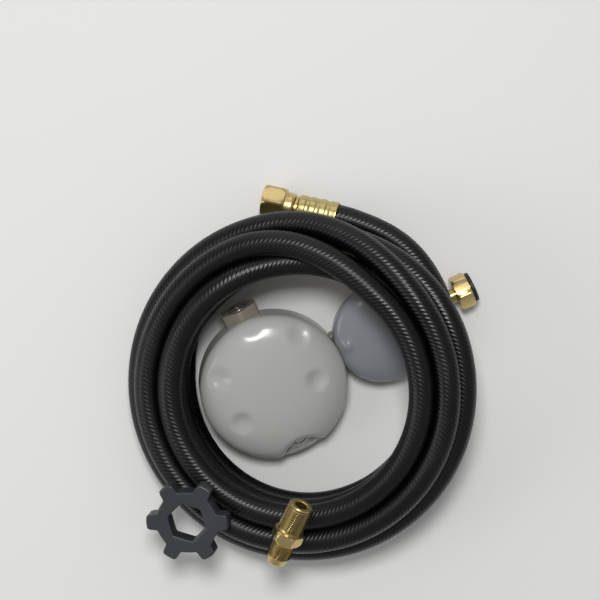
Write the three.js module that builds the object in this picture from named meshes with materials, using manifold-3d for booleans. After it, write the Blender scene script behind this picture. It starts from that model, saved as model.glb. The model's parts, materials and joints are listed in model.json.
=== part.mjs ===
// Propane regulator hose kit: a two-stage regulator lying inside a coiled hose, with a flare
// adapter on top of the coil and a star handwheel leaning on it. Millimetres, +Z up.

import * as THREE from 'three';
import { mergeVertices } from 'three/addons/utils/BufferGeometryUtils.js';
import Module from 'manifold-3d';

const wasm = await Module();
wasm.setup();

// ---- Driving dimensions -------------------------------------------------------------------

const GAP = 0.3; // clearance between pieces that touch
const SLIDE_GAP = 0.4; // clearance around pieces that move

const hose = {
  diameter: 17, // outside
  bore: 9.5,
  coilInnerRadius: 75.9,
  uphill: 30, // azimuth of the side of the coil that lies on the regulator, degrees
};

// Centres of the six strands of the coil, in hose diameters outward from the coil's inner
// radius and upward from its underside, in the order in which the hose is wound.
const STRANDS = [[1.51, 0.5], [1.86, 1.5], [1.43, 2.48], [0.46, 2.72], [0.465, 1.6], [0.5, 0.5]];

const regulator = {
  x: -23, y: -0.5, // axis of the second stage
  azimuth: 25, // direction of the inlet, degrees
};

// Second stage. An inset is a distance inward from the flange's rim.
const second = {
  flangeRadius: 47.5, flangeThickness: 5.5, diaphragmInset: 1.5, diaphragmThickness: 1,
  panDepth: 14, panTopInset: 10.5, panTopDepth: 7.5, baseRadius: 16,
  chamberInset: 16.5, chamberSideDepth: 5, chamberFloorRadius: 14, chamberDepth: 10.5,
  plateRadius: 20, plateThickness: 1.2, stemRadius: 2, stemReach: 2.5, stemTop: 8,
  bonnetThickness: 3, bonnetWall: 2, seatInset: 10.5, shoulderInset: 19.5, shoulderRise: 5, bonnetRise: 8.4,
  towerRadius: 13, towerBore: 10.3, towerTop: 21.5,
  coverProud: 2.5, coverWall: 2, coverSkirt: 5.4, coverSide: 12, coverHeight: 26,
  screwInset: 4.5, screwCount: 6,
};

const springs = {
  mainRadius: 7.6, mainWire: 1.6, mainTurns: 4.5, reliefRadius: 3.2, reliefWire: 0.8, reliefHeight: 3.6,
  reliefTurns: 2, firstRadius: 7, firstWire: 1.4, firstTurns: 1.5, poppetRadius: 2.7, poppetWire: 0.5,
  poppetTurns: 2.5,
};

const plug = { bottom: 16.2, top: 20.8, keyAcrossFlats: 8, keyDepth: 2.6 };

const retainer = { radius: 4.6, thickness: 1 };

const dimples = { circle: 34.5, radius: 6, depth: 2.6, pitch: 60, first: -25, count: 5 };

// The vent's place is its inset; the notch in the cover is a round cut about a point outside.
const vent = {
  inset: 9, radius: 8.5, bore: 6.4, top: 10, floor: 4, notchOut: 8.3, notchRadius: 16.7,
  portRadius: 2.2, portInset: 5.4, flapInset: 0.8, flapThickness: 0.6, screenDrop: 1, screenThickness: 0.6,
  screenHoles: 6, screenCircle: 3.4, screenHoleRadius: 0.9,
};

const outlet = {
  acrossFlats: 25, reach: 56.5, drop: 3, bore: 7.2, boreDepth: 16, passage: 3, passageDrop: 4.6,
};

const first = {
  flangeTop: 4.6, flangeRadius: 31.4, flangeThickness: 5, stageGap: 0.7,
  bowlInset: 7.4, bowlDepth: 12.6, baseRadius: 14, baseDepth: 18.1, chamberInset: 11.4, chamberDepth: 5.6,
  diaphragmInset: 0.8, diaphragmThickness: 0.8,
  plateRadius: 12, plateThickness: 1, stemRadius: 1.8, stemBottom: 3,
  bonnetThickness: 2.2, bonnetWall: 2, shoulderInset: 7.4, cupInset: 13.4, cupHeight: 4.4, cupWall: 1.4,
  breatherRadius: 1.5, breatherOffset: 13,
  coverProud: 2.6, coverWall: 1.3, coverSkirt: 4.4, coverSide: 6.8, coverHeight: 15.4,
  screwInset: 3.8, screwCount: 4,
};

const poppet = {
  bore: 4, seat: 3.5, pinBore: 1.6, pinRadius: 0.9, pinBottom: 4.9, pinTop: 2.7, top: 5.2, bottom: 8,
  plugTop: 10.7, plugBottom: 13.4,
};

const neck = {
  halfWidth: 13, top: 2.5, bottom: 13, start: 25, pastFirst: 16.1, passage: 2, passageDrop: 7, risePassage: 1.8,
};

const lever = {
  pivotX: -9, pivotDrop: 5, pinRadius: 1, pinHalf: 5.4, halfWidth: 2.2, halfLength: 2.2, top: 2.9, thickness: 1,
  foot: 8.2, tip: 1.6, postThickness: 3, postHalf: 2, postTop: 2,
};

const valve = {
  stemRadius: 1.5, headStart: 12, headEnd: 15.2, headRadius: 3, discRadius: 2.6, discEnd: 17.5,
  seatRadius: 3.4, seatStart: 18, seatEnd: 30, seatBore: 1.2,
};

const screw = { radius: 1.6, headRadius: 2.9, headHeight: 1.2, slot: 0.8, depth: 4 };

const inlet = {
  drop: 4.6, passage: 2.4, bossRadius: 9, bossEnd: 42, nippleRadius: 5.2, nippleStart: 30.4, nippleBore: 3.2,
  collarAcrossFlats: 15, collarLength: 7, nutStart: 56, nutEnd: 67, nutAcrossFlats: 22.2, mouthRadius: 8.9,
  shoulder: 4, flangeRadius: 8.4, flangeLength: 3, sealRadius: 10.4, sealLip: 2.4, filterLength: 4,
  filterInset: 2,
};

const fitting = {
  nutAcrossFlats: 22.2, nutLength: 15.4, neckLength: 6.7, neckRadius: 9.6, mouthRadius: 7.3, mouthDepth: 13.4,
  shoulderRadius: 5.6, coneTip: 8, coneTipRadius: 4, coneBase: 11, coneRadius: 7, stemRadius: 5.2,
  collarRadius: 8, ferruleStart: 25, ferruleEnd: 52, ferruleRadius: 9.75, ferruleEndWall: 1.2,
  crimpStart: 5, crimpPitch: 7, crimpDepth: 0.5, crimpLength: 3, crimpCount: 3, bore: 3.2, barbRadius: 4.45,
  barbShort: 4,
};

// Where each hose end lies: its open face, the direction from there to the hose, and its pitch.
const endA = { x: -29.3, y: 123, azimuth: -12.5, pitch: 8, turn: 0 };
const endB = { x: 38.3, y: 85.5, azimuth: 172, pitch: -2, turn: 30 };

// The hose's route from each fitting to the place where it goes under the coil, after the first
// stretch straight out of the ferrule.
const TAIL_A = [[34, 108.4, 21.2], [40, 106.3, 22.2], [45.5, 103.9, 23.2]];
const TAIL_B = [[-24, 93.6, 8.7], [-29, 93, 8.6], [-34.5, 92, 8.6]];
const LEAD = [0.3, 5]; // places on the straight first stretch, from the ferrule's end

const adapter = {
  azimuth: 64, x: -11.5, y: -111, acrossFlats: 19, flareLength: 19, flareRadius: 7.9, coneLength: 2,
  tipRadius: 5.4, noseLength: 6, noseRadius: 6.9, hexLength: 7.6, pipeLength: 20.4, pipeRadius: 8.6,
  pipeTip: 8.1, bore: 4.2,
};

const wheel = {
  x: -77.5, y: -89.5, lean: 15, leanAzimuth: 229, turn: 2, rimRadius: 27.5, rootRadius: 20.5, lobes: 6,
  lobeWidth: 9.5, lobeRound: 1.5, rootFlare: 3, thickness: 12, bevel: 1.2, holeTurn: 13,
};

const SIDES = 40; // facets of the large round pieces
const FINE = 20; // facets of the small ones
const PAST = 1; // how far a cut runs past the face that it opens
const TINY = 10; // facets of holes and pins
const SHOULDER_STEPS = 6; // facets of a cover's shoulder

// ---- Solids -------------------------------------------------------------------------------

const degrees = THREE.MathUtils.degToRad;
const TURNS = { x: new THREE.Matrix4().makeRotationZ(-Math.PI / 2), y: new THREE.Matrix4(),
  z: new THREE.Matrix4().makeRotationX(Math.PI / 2) };

// A closed geometry as a solid that can be cut and joined.
function solidOf(geometry) {
  const bare = new THREE.BufferGeometry();
  bare.setAttribute('position', geometry.getAttribute('position'));
  bare.setIndex(geometry.getIndex());
  const merged = mergeVertices(bare);
  const corners = merged.getIndex().array;
  const triangles = [];
  for (let i = 0; i < corners.length; i += 3) {
    const [a, b, c] = corners.slice(i, i + 3);
    if (a !== b && b !== c && c !== a) triangles.push(a, b, c);
  }
  return new wasm.Manifold(new wasm.Mesh({
    numProp: 3,
    vertProperties: merged.getAttribute('position').array,
    triVerts: new Uint32Array(triangles),
  }));
}

function geometryOf(solid) {
  const mesh = solid.getMesh();
  const geometry = new THREE.BufferGeometry();
  geometry.setAttribute('position', new THREE.BufferAttribute(mesh.vertProperties, 3));
  geometry.setIndex(new THREE.BufferAttribute(mesh.triVerts, 1));
  return geometry;
}

// A round or many-sided bar along an axis, between two places on it, at an offset from it.
function bar(axis, radius, from, to, sides = FINE, offset = [0, 0, 0], twist = 0) {
  const geometry = new THREE.CylinderGeometry(radius, radius, to - from, sides);
  geometry.rotateY(twist);
  geometry.translate(0, (from + to) / 2, 0);
  geometry.applyMatrix4(TURNS[axis]);
  geometry.translate(...offset);
  return solidOf(geometry);
}

// A hexagonal bar given by its size across flats.
function hexBar(axis, acrossFlats, from, to, offset = [0, 0, 0], twist = 0) {
  return bar(axis, acrossFlats / Math.sqrt(3), from, to, 6, offset, twist);
}

// A hexagonal nut along X with its corners turned off at both ends.
function nutBlank(acrossFlats, from, to, offset = [0, 0, 0], twist = 0) {
  const [faceRadius, cornerRadius, chamfer] = [0.52, 0.581, 0.054].map((share) => share * acrossFlats);
  return hexBar('x', acrossFlats, from, to, offset, twist).intersect(turned([
    [0, from], [faceRadius, from], [cornerRadius, from + chamfer], [cornerRadius, to - chamfer], [faceRadius, to],
    [0, to],
  ], FINE, 'x', offset));
}

function block(x, y, z) {
  const geometry = new THREE.BoxGeometry(x[1] - x[0], y[1] - y[0], z[1] - z[0]);
  geometry.translate((x[0] + x[1]) / 2, (y[0] + y[1]) / 2, (z[0] + z[1]) / 2);
  return solidOf(geometry);
}

function ball(radius, place, sides) {
  const geometry = new THREE.SphereGeometry(radius, sides, sides);
  geometry.translate(...place);
  return solidOf(geometry);
}

// A body turned about an axis. Its outline is [radius, place] pairs, outer wall upward, and it
// is closed here.
function turned(outline, sides = SIDES, axis = 'z', offset = [0, 0, 0]) {
  const points = [...outline, outline[0]].map(([radius, place]) => new THREE.Vector2(radius, place));
  const geometry = new THREE.LatheGeometry(points, sides);
  geometry.applyMatrix4(TURNS[axis]);
  geometry.translate(...offset);
  return solidOf(geometry);
}

// Places evenly round a circle about Z.
function around(count, radius, start = 0, pitch = 360 / count) {
  return Array.from({ length: count }, (_, i) => {
    const angle = degrees(start + i * pitch);
    return [radius * Math.cos(angle), radius * Math.sin(angle)];
  });
}

const join = (parts) => parts.reduce((whole, part) => whole.add(part));
const cut = (whole, tools) => tools.reduce((rest, tool) => rest.subtract(tool), whole);

class Helix extends THREE.Curve {
  constructor(radius, bottom, top, turns, centre) {
    super();
    Object.assign(this, { radius, bottom, top, turns, centre });
  }

  getPoint(t, target = new THREE.Vector3()) {
    const angle = t * this.turns * 2 * Math.PI;
    const [x, y] = this.centre;
    return target.set(x + this.radius * Math.cos(angle), y + this.radius * Math.sin(angle),
      THREE.MathUtils.lerp(this.bottom, this.top, t));
  }
}

// A closed tube along a curve.
function sweep(curve, radius, sides, steps) {
  const section = new THREE.Shape(around(sides, radius).map(([x, y]) => new THREE.Vector2(x, y)));
  return solidOf(new THREE.ExtrudeGeometry(section, { steps, extrudePath: curve }));
}

// A compression spring that just clears its two seats.
function spring(radius, wire, bottom, top, turns, centre = [0, 0]) {
  const half = wire / 2;
  const curve = new Helix(radius, bottom + half + GAP, top - half - GAP, turns, centre);
  return sweep(curve, half, 6, Math.round(turns * 12));
}

// ---- Finishes -----------------------------------------------------------------------------

const finish = (color, roughness, metalness) => new THREE.MeshStandardMaterial({ color, roughness, metalness });
const FINISH = {
  brass: () => finish(0xc79a3e, 0.3, 1),
  casting: () => finish(0x9b958a, 0.5, 0.3),
  coverPlastic: () => finish(0xd6d5d0, 0.3, 0),
  bonnetZinc: () => finish(0xa9aaa8, 0.4, 0.8),
  rubber: () => finish(0x151516, 0.5, 0),
  steel: () => finish(0xb9bbbd, 0.3, 1),
  wheelPlastic: () => finish(0x222224, 0.5, 0),
  diaphragmRubber: () => finish(0x3a2f28, 0.7, 0),
};

function place(parent, name, solid, kind) {
  const mesh = new THREE.Mesh(geometryOf(solid), FINISH[kind]());
  mesh.name = name;
  parent.add(mesh);
  return mesh;
}

// ---- Regulator ----------------------------------------------------------------------------

// Heights above the second stage's flange plane, which is z = 0 in the regulator's own frame.
const diaphragmTop = GAP + second.diaphragmThickness;
const bonnetBottom = diaphragmTop + GAP;
const bonnetFlangeTop = bonnetBottom + second.bonnetThickness;
const firstDiaphragmTop = first.flangeTop + GAP + first.diaphragmThickness;
const firstBonnetBottom = firstDiaphragmTop + GAP;
const firstBonnetTop = firstBonnetBottom + first.bonnetThickness;
const secondCover = second.flangeRadius + second.coverProud;
const firstX = secondCover + first.flangeRadius + first.stageGap;
const inletZ = -inlet.drop;
const outletAxis = [0, 0, -outlet.drop];
const onFirst = [firstX, 0, 0];
const ventAxis = [0, vent.inset - second.flangeRadius, 0];
const chamberRadius = second.flangeRadius - second.chamberInset;
const firstChamber = first.flangeRadius - first.chamberInset;
const ABOVE = second.coverHeight; // a height above every piece that a cut goes through

const secondScrews = around(second.screwCount, second.flangeRadius - second.screwInset);
const firstScrews = around(first.screwCount, first.flangeRadius - first.screwInset, 45)
  .map(([x, y]) => [x + firstX, y]);
const screwHoles = (places, bottom, top) => places.map(([x, y]) => (
  bar('z', screw.radius + GAP, bottom, top, TINY, [x, y, 0])));

function regulatorBody() {
  const panTop = second.flangeRadius - second.panTopInset;
  const pan = turned([
    [0, -second.panDepth], [second.baseRadius, -second.panDepth], [panTop, -second.panTopDepth],
    [panTop, -second.flangeThickness], [second.flangeRadius, -second.flangeThickness],
    [second.flangeRadius, 0], [0, 0],
  ]);
  const bowlTop = first.flangeTop - first.flangeThickness;
  const bowlRadius = first.flangeRadius - first.bowlInset;
  const bowl = turned([
    [0, first.flangeTop - first.baseDepth], [first.baseRadius, first.flangeTop - first.baseDepth],
    [bowlRadius, first.flangeTop - first.bowlDepth], [bowlRadius, bowlTop],
    [first.flangeRadius, bowlTop], [first.flangeRadius, first.flangeTop], [0, first.flangeTop],
  ], SIDES, 'z', onFirst);
  const neckEnd = firstX - neck.pastFirst;
  const link = block([neck.start, neckEnd], [-neck.halfWidth, neck.halfWidth], [-neck.bottom, -neck.top]);
  const inletBoss = bar('x', inlet.bossRadius, firstX + firstChamber, firstX + inlet.bossEnd, FINE, [0, 0, inletZ]);
  const outletBoss = hexBar('y', outlet.acrossFlats, chamberRadius + PAST, outlet.reach, outletAxis)
    .subtract(bar('z', second.flangeRadius + 2 * GAP, 0, outlet.acrossFlats, SIDES));
  const posts = [-1, 1].map((side) => {
    const faces = [0, lever.postThickness].map((out) => side * (lever.halfWidth + SLIDE_GAP + out));
    return block([lever.pivotX - lever.postHalf, lever.pivotX + lever.postHalf], faces.sort((a, b) => a - b),
      [-second.chamberDepth - PAST, lever.postTop - lever.pivotDrop]);
  });
  const chamber = turned([
    [0, -second.chamberDepth], [second.chamberFloorRadius, -second.chamberDepth],
    [chamberRadius, -second.chamberSideDepth], [chamberRadius, PAST], [0, PAST],
  ]);
  const passageAxis = [0, 0, -neck.passageDrop];
  const passageStart = second.chamberFloorRadius;
  const hollow = cut(join([pan, bowl, link, inletBoss, outletBoss]), [
    chamber,
    bar('z', firstChamber, first.flangeTop - first.chamberDepth, first.flangeTop + PAST, FINE, onFirst),
    bar('z', poppet.bore, -first.baseDepth, -poppet.seat, TINY, onFirst),
    bar('z', poppet.pinBore, -poppet.seat - PAST, 0, TINY, onFirst),
    bar('x', inlet.passage, firstX, firstX + inlet.bossEnd, TINY, [0, 0, inletZ]),
    bar('x', inlet.nippleRadius + GAP, firstX + inlet.nippleStart - GAP, firstX + inlet.bossEnd + PAST, FINE,
      [0, 0, inletZ]),
    bar('x', neck.passage, passageStart, neckEnd - PAST, TINY, passageAxis),
    bar('x', valve.seatRadius + GAP, passageStart, valve.seatEnd + GAP, TINY, passageAxis),
    bar('z', neck.risePassage, -neck.passageDrop, 0, TINY, [neckEnd - neck.risePassage, 0, 0]),
    bar('y', outlet.bore, outlet.reach - outlet.boreDepth, outlet.reach + PAST, FINE, outletAxis),
    bar('y', outlet.passage, passageStart, outlet.reach, TINY, [0, 0, -outlet.passageDrop]),
    ...screwHoles(secondScrews, -screw.depth - GAP, PAST),
    ...screwHoles(firstScrews, first.flangeTop - screw.depth - GAP, first.flangeTop + PAST),
  ]);
  const pinHole = bar('y', lever.pinRadius + GAP, -2 * lever.pinHalf, 2 * lever.pinHalf, TINY,
    [lever.pivotX, 0, -lever.pivotDrop]);
  return hollow.add(join(posts).subtract(pinHole));
}

function secondStageBonnet() {
  const shoulder = second.flangeRadius - second.shoulderInset;
  const seat = second.flangeRadius - second.seatInset;
  const slope = bonnetFlangeTop + second.bonnetRise;
  const wall = second.bonnetWall;
  const shell = turned([
    [seat, bonnetBottom], [second.flangeRadius, bonnetBottom], [second.flangeRadius, bonnetFlangeTop],
    [seat - GAP, bonnetFlangeTop], [shoulder, bonnetFlangeTop + second.shoulderRise],
    [second.towerRadius, slope], [second.towerRadius, second.towerTop], [second.towerBore, second.towerTop],
    [second.towerBore, slope - wall], [shoulder - wall, bonnetFlangeTop + second.shoulderRise - wall],
  ]);
  return cut(shell.add(bar('z', vent.radius, bonnetBottom, vent.top, FINE, ventAxis)), [
    bar('z', vent.bore, vent.floor, vent.top + PAST, FINE, ventAxis),
    bar('z', vent.portRadius, 0, vent.floor + PAST, TINY, [0, ventAxis[1] + vent.bore / 2, 0]),
    ...screwHoles(secondScrews, 0, bonnetFlangeTop + PAST),
  ]);
}

// A cover's crown: how far out and how high it is, a share of a quarter turn round its shoulder.
const CROWN = { out: 0.8, up: 0.9 };

// The outside or inside of a cover: a straight side, a rounded shoulder and a crowned top.
function coverForm(spec, inset, bottom) {
  const radius = spec.flangeRadius + spec.coverProud - inset;
  const top = spec.coverHeight - inset;
  const rise = top - spec.coverSide;
  const shoulder = around(SHOULDER_STEPS, 1, 0, 90 / SHOULDER_STEPS).map(([x, y]) => (
    [radius * x ** CROWN.out, spec.coverSide + rise * y ** CROWN.up]));
  shoulder.push([0, top]);
  return turned([[0, bottom], [radius, bottom], ...shoulder]);
}

// The height of the large cover's crown at a distance from its axis.
function crownHeight(out) {
  const across = (out / secondCover) ** (1 / CROWN.out);
  return second.coverSide + (second.coverHeight - second.coverSide) * Math.sqrt(1 - across ** 2) ** CROWN.up;
}

function secondStageCover() {
  const marks = around(dimples.count, dimples.circle, dimples.first, dimples.pitch);
  const notchAt = [0, -second.flangeRadius - vent.notchOut, 0];
  const ballRadius = (dimples.radius ** 2 + dimples.depth ** 2) / (2 * dimples.depth);
  const ballHeight = crownHeight(dimples.circle) - dimples.depth + ballRadius;
  const balls = (extra, sides) => marks.map(([x, y]) => ball(ballRadius + extra, [x, y, ballHeight], sides));
  const hollow = cut(coverForm(second, second.coverWall, -second.coverSkirt - PAST), [
    ...balls(second.coverWall, TINY),
    bar('z', vent.notchRadius + second.coverWall, -ABOVE, ABOVE, SIDES, notchAt),
  ]);
  return cut(coverForm(second, 0, -second.coverSkirt), [
    ...balls(0, FINE),
    bar('z', vent.notchRadius, -ABOVE, ABOVE, SIDES, notchAt),
    hollow,
    bar('z', vent.radius + SLIDE_GAP, -ABOVE, vent.top + SLIDE_GAP, FINE, ventAxis),
    bar('z', second.flangeRadius + SLIDE_GAP, -ABOVE, bonnetFlangeTop + SLIDE_GAP, SIDES),
    hexBar('y', outlet.acrossFlats + 2 * SLIDE_GAP, chamberRadius, outlet.reach, outletAxis),
    block([chamberRadius, secondCover + PAST], [-neck.halfWidth - SLIDE_GAP, neck.halfWidth + SLIDE_GAP],
      [-second.coverSkirt - PAST, SLIDE_GAP - neck.top]),
  ]);
}

function firstStageCover() {
  const outer = coverForm(first, 0, first.flangeTop - first.coverSkirt);
  const inner = coverForm(first, first.coverWall, first.flangeTop - first.coverSkirt - PAST);
  return cut(outer.subtract(inner).translate(onFirst), [
    bar('z', secondCover + SLIDE_GAP, -ABOVE, ABOVE, SIDES),
    bar('x', inlet.bossRadius + SLIDE_GAP, firstX + firstChamber, firstX + inlet.nutEnd, FINE, [0, 0, inletZ]),
  ]);
}

const regulatorGroup = new THREE.Group();

// Slotted pan-head screws, one at each place, with their heads on a seat.
function placeScrews(name, places, seat, bottom) {
  const under = seat + GAP;
  const top = under + screw.headHeight;
  places.forEach(([x, y], i) => place(regulatorGroup, `${name}_${i + 1}`, cut(join([
    bar('z', screw.headRadius, under, top, TINY, [x, y, 0]),
    bar('z', screw.radius, bottom, under + screw.headHeight / 2, TINY, [x, y, 0]),
  ]), [block([x - 2 * screw.headRadius, x + 2 * screw.headRadius], [y - screw.slot / 2, y + screw.slot / 2],
    [top - screw.headHeight / 2, top + PAST])]), 'steel'));
}

const plateTop = bonnetBottom + second.plateThickness;
const reliefTop = plateTop + springs.reliefHeight;
const diaphragmRadius = second.flangeRadius - second.diaphragmInset;
place(regulatorGroup, 'regulator_body', regulatorBody(), 'casting');
place(regulatorGroup, 'second_stage_diaphragm', cut(bar('z', diaphragmRadius, GAP, diaphragmTop, SIDES), [
  bar('z', second.stemRadius + GAP, -PAST, diaphragmTop + PAST, TINY),
  ...screwHoles(secondScrews, -PAST, diaphragmTop + PAST),
]), 'diaphragmRubber');
place(regulatorGroup, 'diaphragm_plate', join([
  bar('z', second.plateRadius, bonnetBottom, plateTop, FINE),
  bar('z', second.stemRadius, -second.stemReach, second.stemTop, TINY),
]), 'steel');
place(regulatorGroup, 'relief_spring', spring(springs.reliefRadius, springs.reliefWire, plateTop, reliefTop,
  springs.reliefTurns), 'steel');
place(regulatorGroup, 'relief_retainer', cut(
  bar('z', retainer.radius, reliefTop, reliefTop + retainer.thickness, TINY),
  [bar('z', second.stemRadius + GAP, 0, ABOVE, TINY)],
), 'brass');
place(regulatorGroup, 'second_stage_bonnet', secondStageBonnet(), 'bonnetZinc');
place(regulatorGroup, 'main_spring', spring(springs.mainRadius, springs.mainWire, plateTop, plug.bottom,
  springs.mainTurns), 'steel');
place(regulatorGroup, 'adjusting_plug', cut(
  bar('z', second.towerBore - SLIDE_GAP, plug.bottom, plug.top, FINE),
  [hexBar('z', plug.keyAcrossFlats, plug.top - plug.keyDepth, plug.top + PAST)],
), 'wheelPlastic');
place(regulatorGroup, 'second_stage_cover', secondStageCover(), 'coverPlastic');
placeScrews('flange_screw', secondScrews, bonnetFlangeTop, -screw.depth);
place(regulatorGroup, 'vent_flap', bar('z', vent.bore - vent.flapInset, vent.floor + GAP,
  vent.floor + GAP + vent.flapThickness, TINY, ventAxis), 'rubber');
const screenTop = vent.top - vent.screenDrop;
place(regulatorGroup, 'vent_screen', cut(
  bar('z', vent.bore - GAP, screenTop - vent.screenThickness, screenTop, FINE, ventAxis),
  around(vent.screenHoles, vent.screenCircle).map(([x, y]) => (
    bar('z', vent.screenHoleRadius, 0, ABOVE, 6, [x, y + ventAxis[1], 0]))),
), 'steel');

// Valve train of the second stage: lever on its pin, valve stem and disc, orifice.
const pivot = [lever.pivotX, 0, -lever.pivotDrop];
place(regulatorGroup, 'lever_pin', bar('y', lever.pinRadius, -lever.pinHalf, lever.pinHalf, TINY, pivot), 'steel');
const leverSides = [-lever.halfWidth, lever.halfWidth];
place(regulatorGroup, 'lever', cut(join([
  block([lever.pivotX - lever.halfLength, lever.pivotX + lever.halfLength], leverSides, [-lever.foot, -lever.top]),
  block([lever.pivotX, lever.tip], leverSides, [-lever.top - lever.thickness, -lever.top]),
]), [bar('y', lever.pinRadius + GAP, -2 * lever.halfWidth, 2 * lever.halfWidth, TINY, pivot)]), 'steel');
const valveAxis = [0, 0, -neck.passageDrop];
const stemStart = lever.pivotX + lever.halfLength + SLIDE_GAP;
place(regulatorGroup, 'valve_stem', join([
  bar('x', valve.stemRadius, stemStart, valve.headStart + PAST, TINY, valveAxis),
  bar('x', valve.headRadius, valve.headStart, valve.headEnd, TINY, valveAxis),
]), 'brass');
place(regulatorGroup, 'valve_disc', bar('x', valve.discRadius, valve.headEnd + GAP, valve.discEnd, TINY, valveAxis),
  'rubber');
place(regulatorGroup, 'orifice_seat', cut(
  bar('x', valve.seatRadius, valve.seatStart, valve.seatEnd, TINY, valveAxis),
  [bar('x', valve.seatBore, valve.seatStart - PAST, valve.seatEnd + PAST, TINY, valveAxis)],
), 'brass');

// First stage.
place(regulatorGroup, 'first_stage_diaphragm', cut(
  bar('z', first.flangeRadius - first.diaphragmInset, first.flangeTop + GAP, firstDiaphragmTop, SIDES, onFirst),
  [bar('z', first.stemRadius + GAP, 0, ABOVE, TINY, onFirst), ...screwHoles(firstScrews, 0, ABOVE)],
), 'diaphragmRubber');
const firstPlateTop = firstBonnetBottom + first.plateThickness;
place(regulatorGroup, 'first_stage_plate', join([
  bar('z', first.plateRadius, firstBonnetBottom, firstPlateTop, FINE, onFirst),
  bar('z', first.stemRadius, first.stemBottom, firstPlateTop - first.plateThickness / 2, TINY, onFirst),
]), 'steel');
const cupTop = firstBonnetTop + first.cupHeight;
const cupRoof = cupTop - first.cupWall;
const cupRadius = first.flangeRadius - first.cupInset;
const cupShoulder = first.flangeRadius - first.shoulderInset;
place(regulatorGroup, 'first_stage_bonnet', cut(turned([
  [cupShoulder - first.bonnetWall, firstBonnetBottom], [first.flangeRadius, firstBonnetBottom],
  [first.flangeRadius, firstBonnetTop], [cupShoulder, firstBonnetTop], [cupRadius, cupTop], [0, cupTop],
  [0, cupRoof], [cupRadius - first.cupWall, cupRoof],
], SIDES, 'z', onFirst), [
  ...screwHoles(firstScrews, 0, ABOVE),
  bar('z', first.breatherRadius, cupRoof - PAST, cupTop + PAST, TINY, [firstX + first.breatherOffset, 0, 0]),
]), 'bonnetZinc');
place(regulatorGroup, 'first_stage_spring', spring(springs.firstRadius, springs.firstWire, firstPlateTop, cupRoof,
  springs.firstTurns, [firstX, 0]), 'steel');
place(regulatorGroup, 'first_stage_cover', firstStageCover(), 'coverPlastic');
placeScrews('first_stage_screw', firstScrews, firstBonnetTop, first.flangeTop - screw.depth);
place(regulatorGroup, 'first_stage_pin', bar('z', poppet.pinRadius, -poppet.pinBottom, poppet.pinTop, TINY, onFirst),
  'steel');
place(regulatorGroup, 'first_stage_poppet', bar('z', poppet.bore - SLIDE_GAP, -poppet.bottom, -poppet.top, TINY,
  onFirst), 'rubber');
place(regulatorGroup, 'poppet_spring', spring(springs.poppetRadius, springs.poppetWire, -poppet.plugTop,
  -poppet.bottom, springs.poppetTurns, [firstX, 0]), 'steel');
place(regulatorGroup, 'poppet_plug', bar('z', poppet.bore - GAP, -poppet.plugBottom, -poppet.plugTop, TINY, onFirst),
  'brass');

// Inlet: nipple with its filter and soft seal, and the nut that turns on it.
const onInlet = [firstX, 0, inletZ];
const nutShoulder = inlet.nutStart + inlet.shoulder;
const nippleFlange = nutShoulder + SLIDE_GAP;
const nippleFace = nippleFlange + inlet.flangeLength;
const sealStart = inlet.nutEnd + GAP;
const sealEnd = sealStart + inlet.sealLip;
const throughInlet = bar('x', inlet.nippleBore, 0, sealEnd + PAST, TINY, onInlet);
place(regulatorGroup, 'inlet_nipple', cut(join([
  bar('x', inlet.nippleRadius, inlet.nippleStart, nippleFlange + PAST, FINE, onInlet),
  bar('x', inlet.flangeRadius, nippleFlange, nippleFace, FINE, onInlet),
  hexBar('x', inlet.collarAcrossFlats, inlet.bossEnd + GAP, inlet.bossEnd + inlet.collarLength, onInlet),
]), [throughInlet]), 'brass');
const filterStart = inlet.nippleStart + inlet.filterInset;
place(regulatorGroup, 'inlet_filter', bar('x', inlet.nippleBore - GAP, filterStart, filterStart + inlet.filterLength,
  TINY, onInlet), 'brass');
place(regulatorGroup, 'inlet_seal', cut(join([
  bar('x', inlet.flangeRadius - GAP, nippleFace + GAP, sealStart + inlet.sealLip / 2, FINE, onInlet),
  bar('x', inlet.sealRadius, sealStart, sealEnd, FINE, onInlet),
]), [throughInlet]), 'rubber');
place(regulatorGroup, 'inlet_nut', cut(nutBlank(inlet.nutAcrossFlats, inlet.nutStart, inlet.nutEnd, onInlet), [
  bar('x', inlet.nippleRadius + SLIDE_GAP, 0, sealEnd, FINE, onInlet),
  bar('x', inlet.mouthRadius, nutShoulder, sealEnd, FINE, onInlet),
]), 'brass');

// The regulator lies rolled on to the edges of its base and of the large cover.
const roll = Math.atan2(second.panDepth - second.coverSkirt, secondCover - second.baseRadius);
regulatorGroup.rotation.set(roll, 0, degrees(regulator.azimuth), 'ZYX');
regulatorGroup.position.set(regulator.x, regulator.y, 0);
standOn(regulatorGroup, 0);

// Lowers or raises a group until its lowest corner is at a height.
function standOn(group, height) {
  group.updateMatrixWorld(true);
  group.position.z += height - new THREE.Box3().setFromObject(group, true).min.z;
  group.updateMatrixWorld(true);
}

// ---- Hose ---------------------------------------------------------------------------------

const strands = STRANDS.map(([out, up]) => [hose.coilInnerRadius + out * hose.diameter, up * hose.diameter]);

// The smallest convex outline round a set of points, anticlockwise.
function wrap(points) {
  const sorted = [...points].sort((a, b) => a[0] - b[0] || a[1] - b[1]);
  const turnsLeft = (o, a, b) => (a[0] - o[0]) * (b[1] - o[1]) - (a[1] - o[1]) * (b[0] - o[0]) > 1e-6;
  const half = (list) => list.reduce((chain, point) => {
    while (chain.length > 1 && !turnsLeft(chain.at(-2), chain.at(-1), point)) chain.pop();
    return [...chain, point];
  }, []).slice(0, -1);
  return [...half(sorted), ...half(sorted.reverse())];
}

const coilOutline = wrap(strands.flatMap(([radius, height]) => (
  around(TINY, hose.diameter / 2).map(([x, y]) => [radius + x, height + y]))));

const hoseGroup = new THREE.Group();
const coilGroup = new THREE.Group();
place(coilGroup, 'hose_coil', turned(coilOutline), 'rubber');

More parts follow.
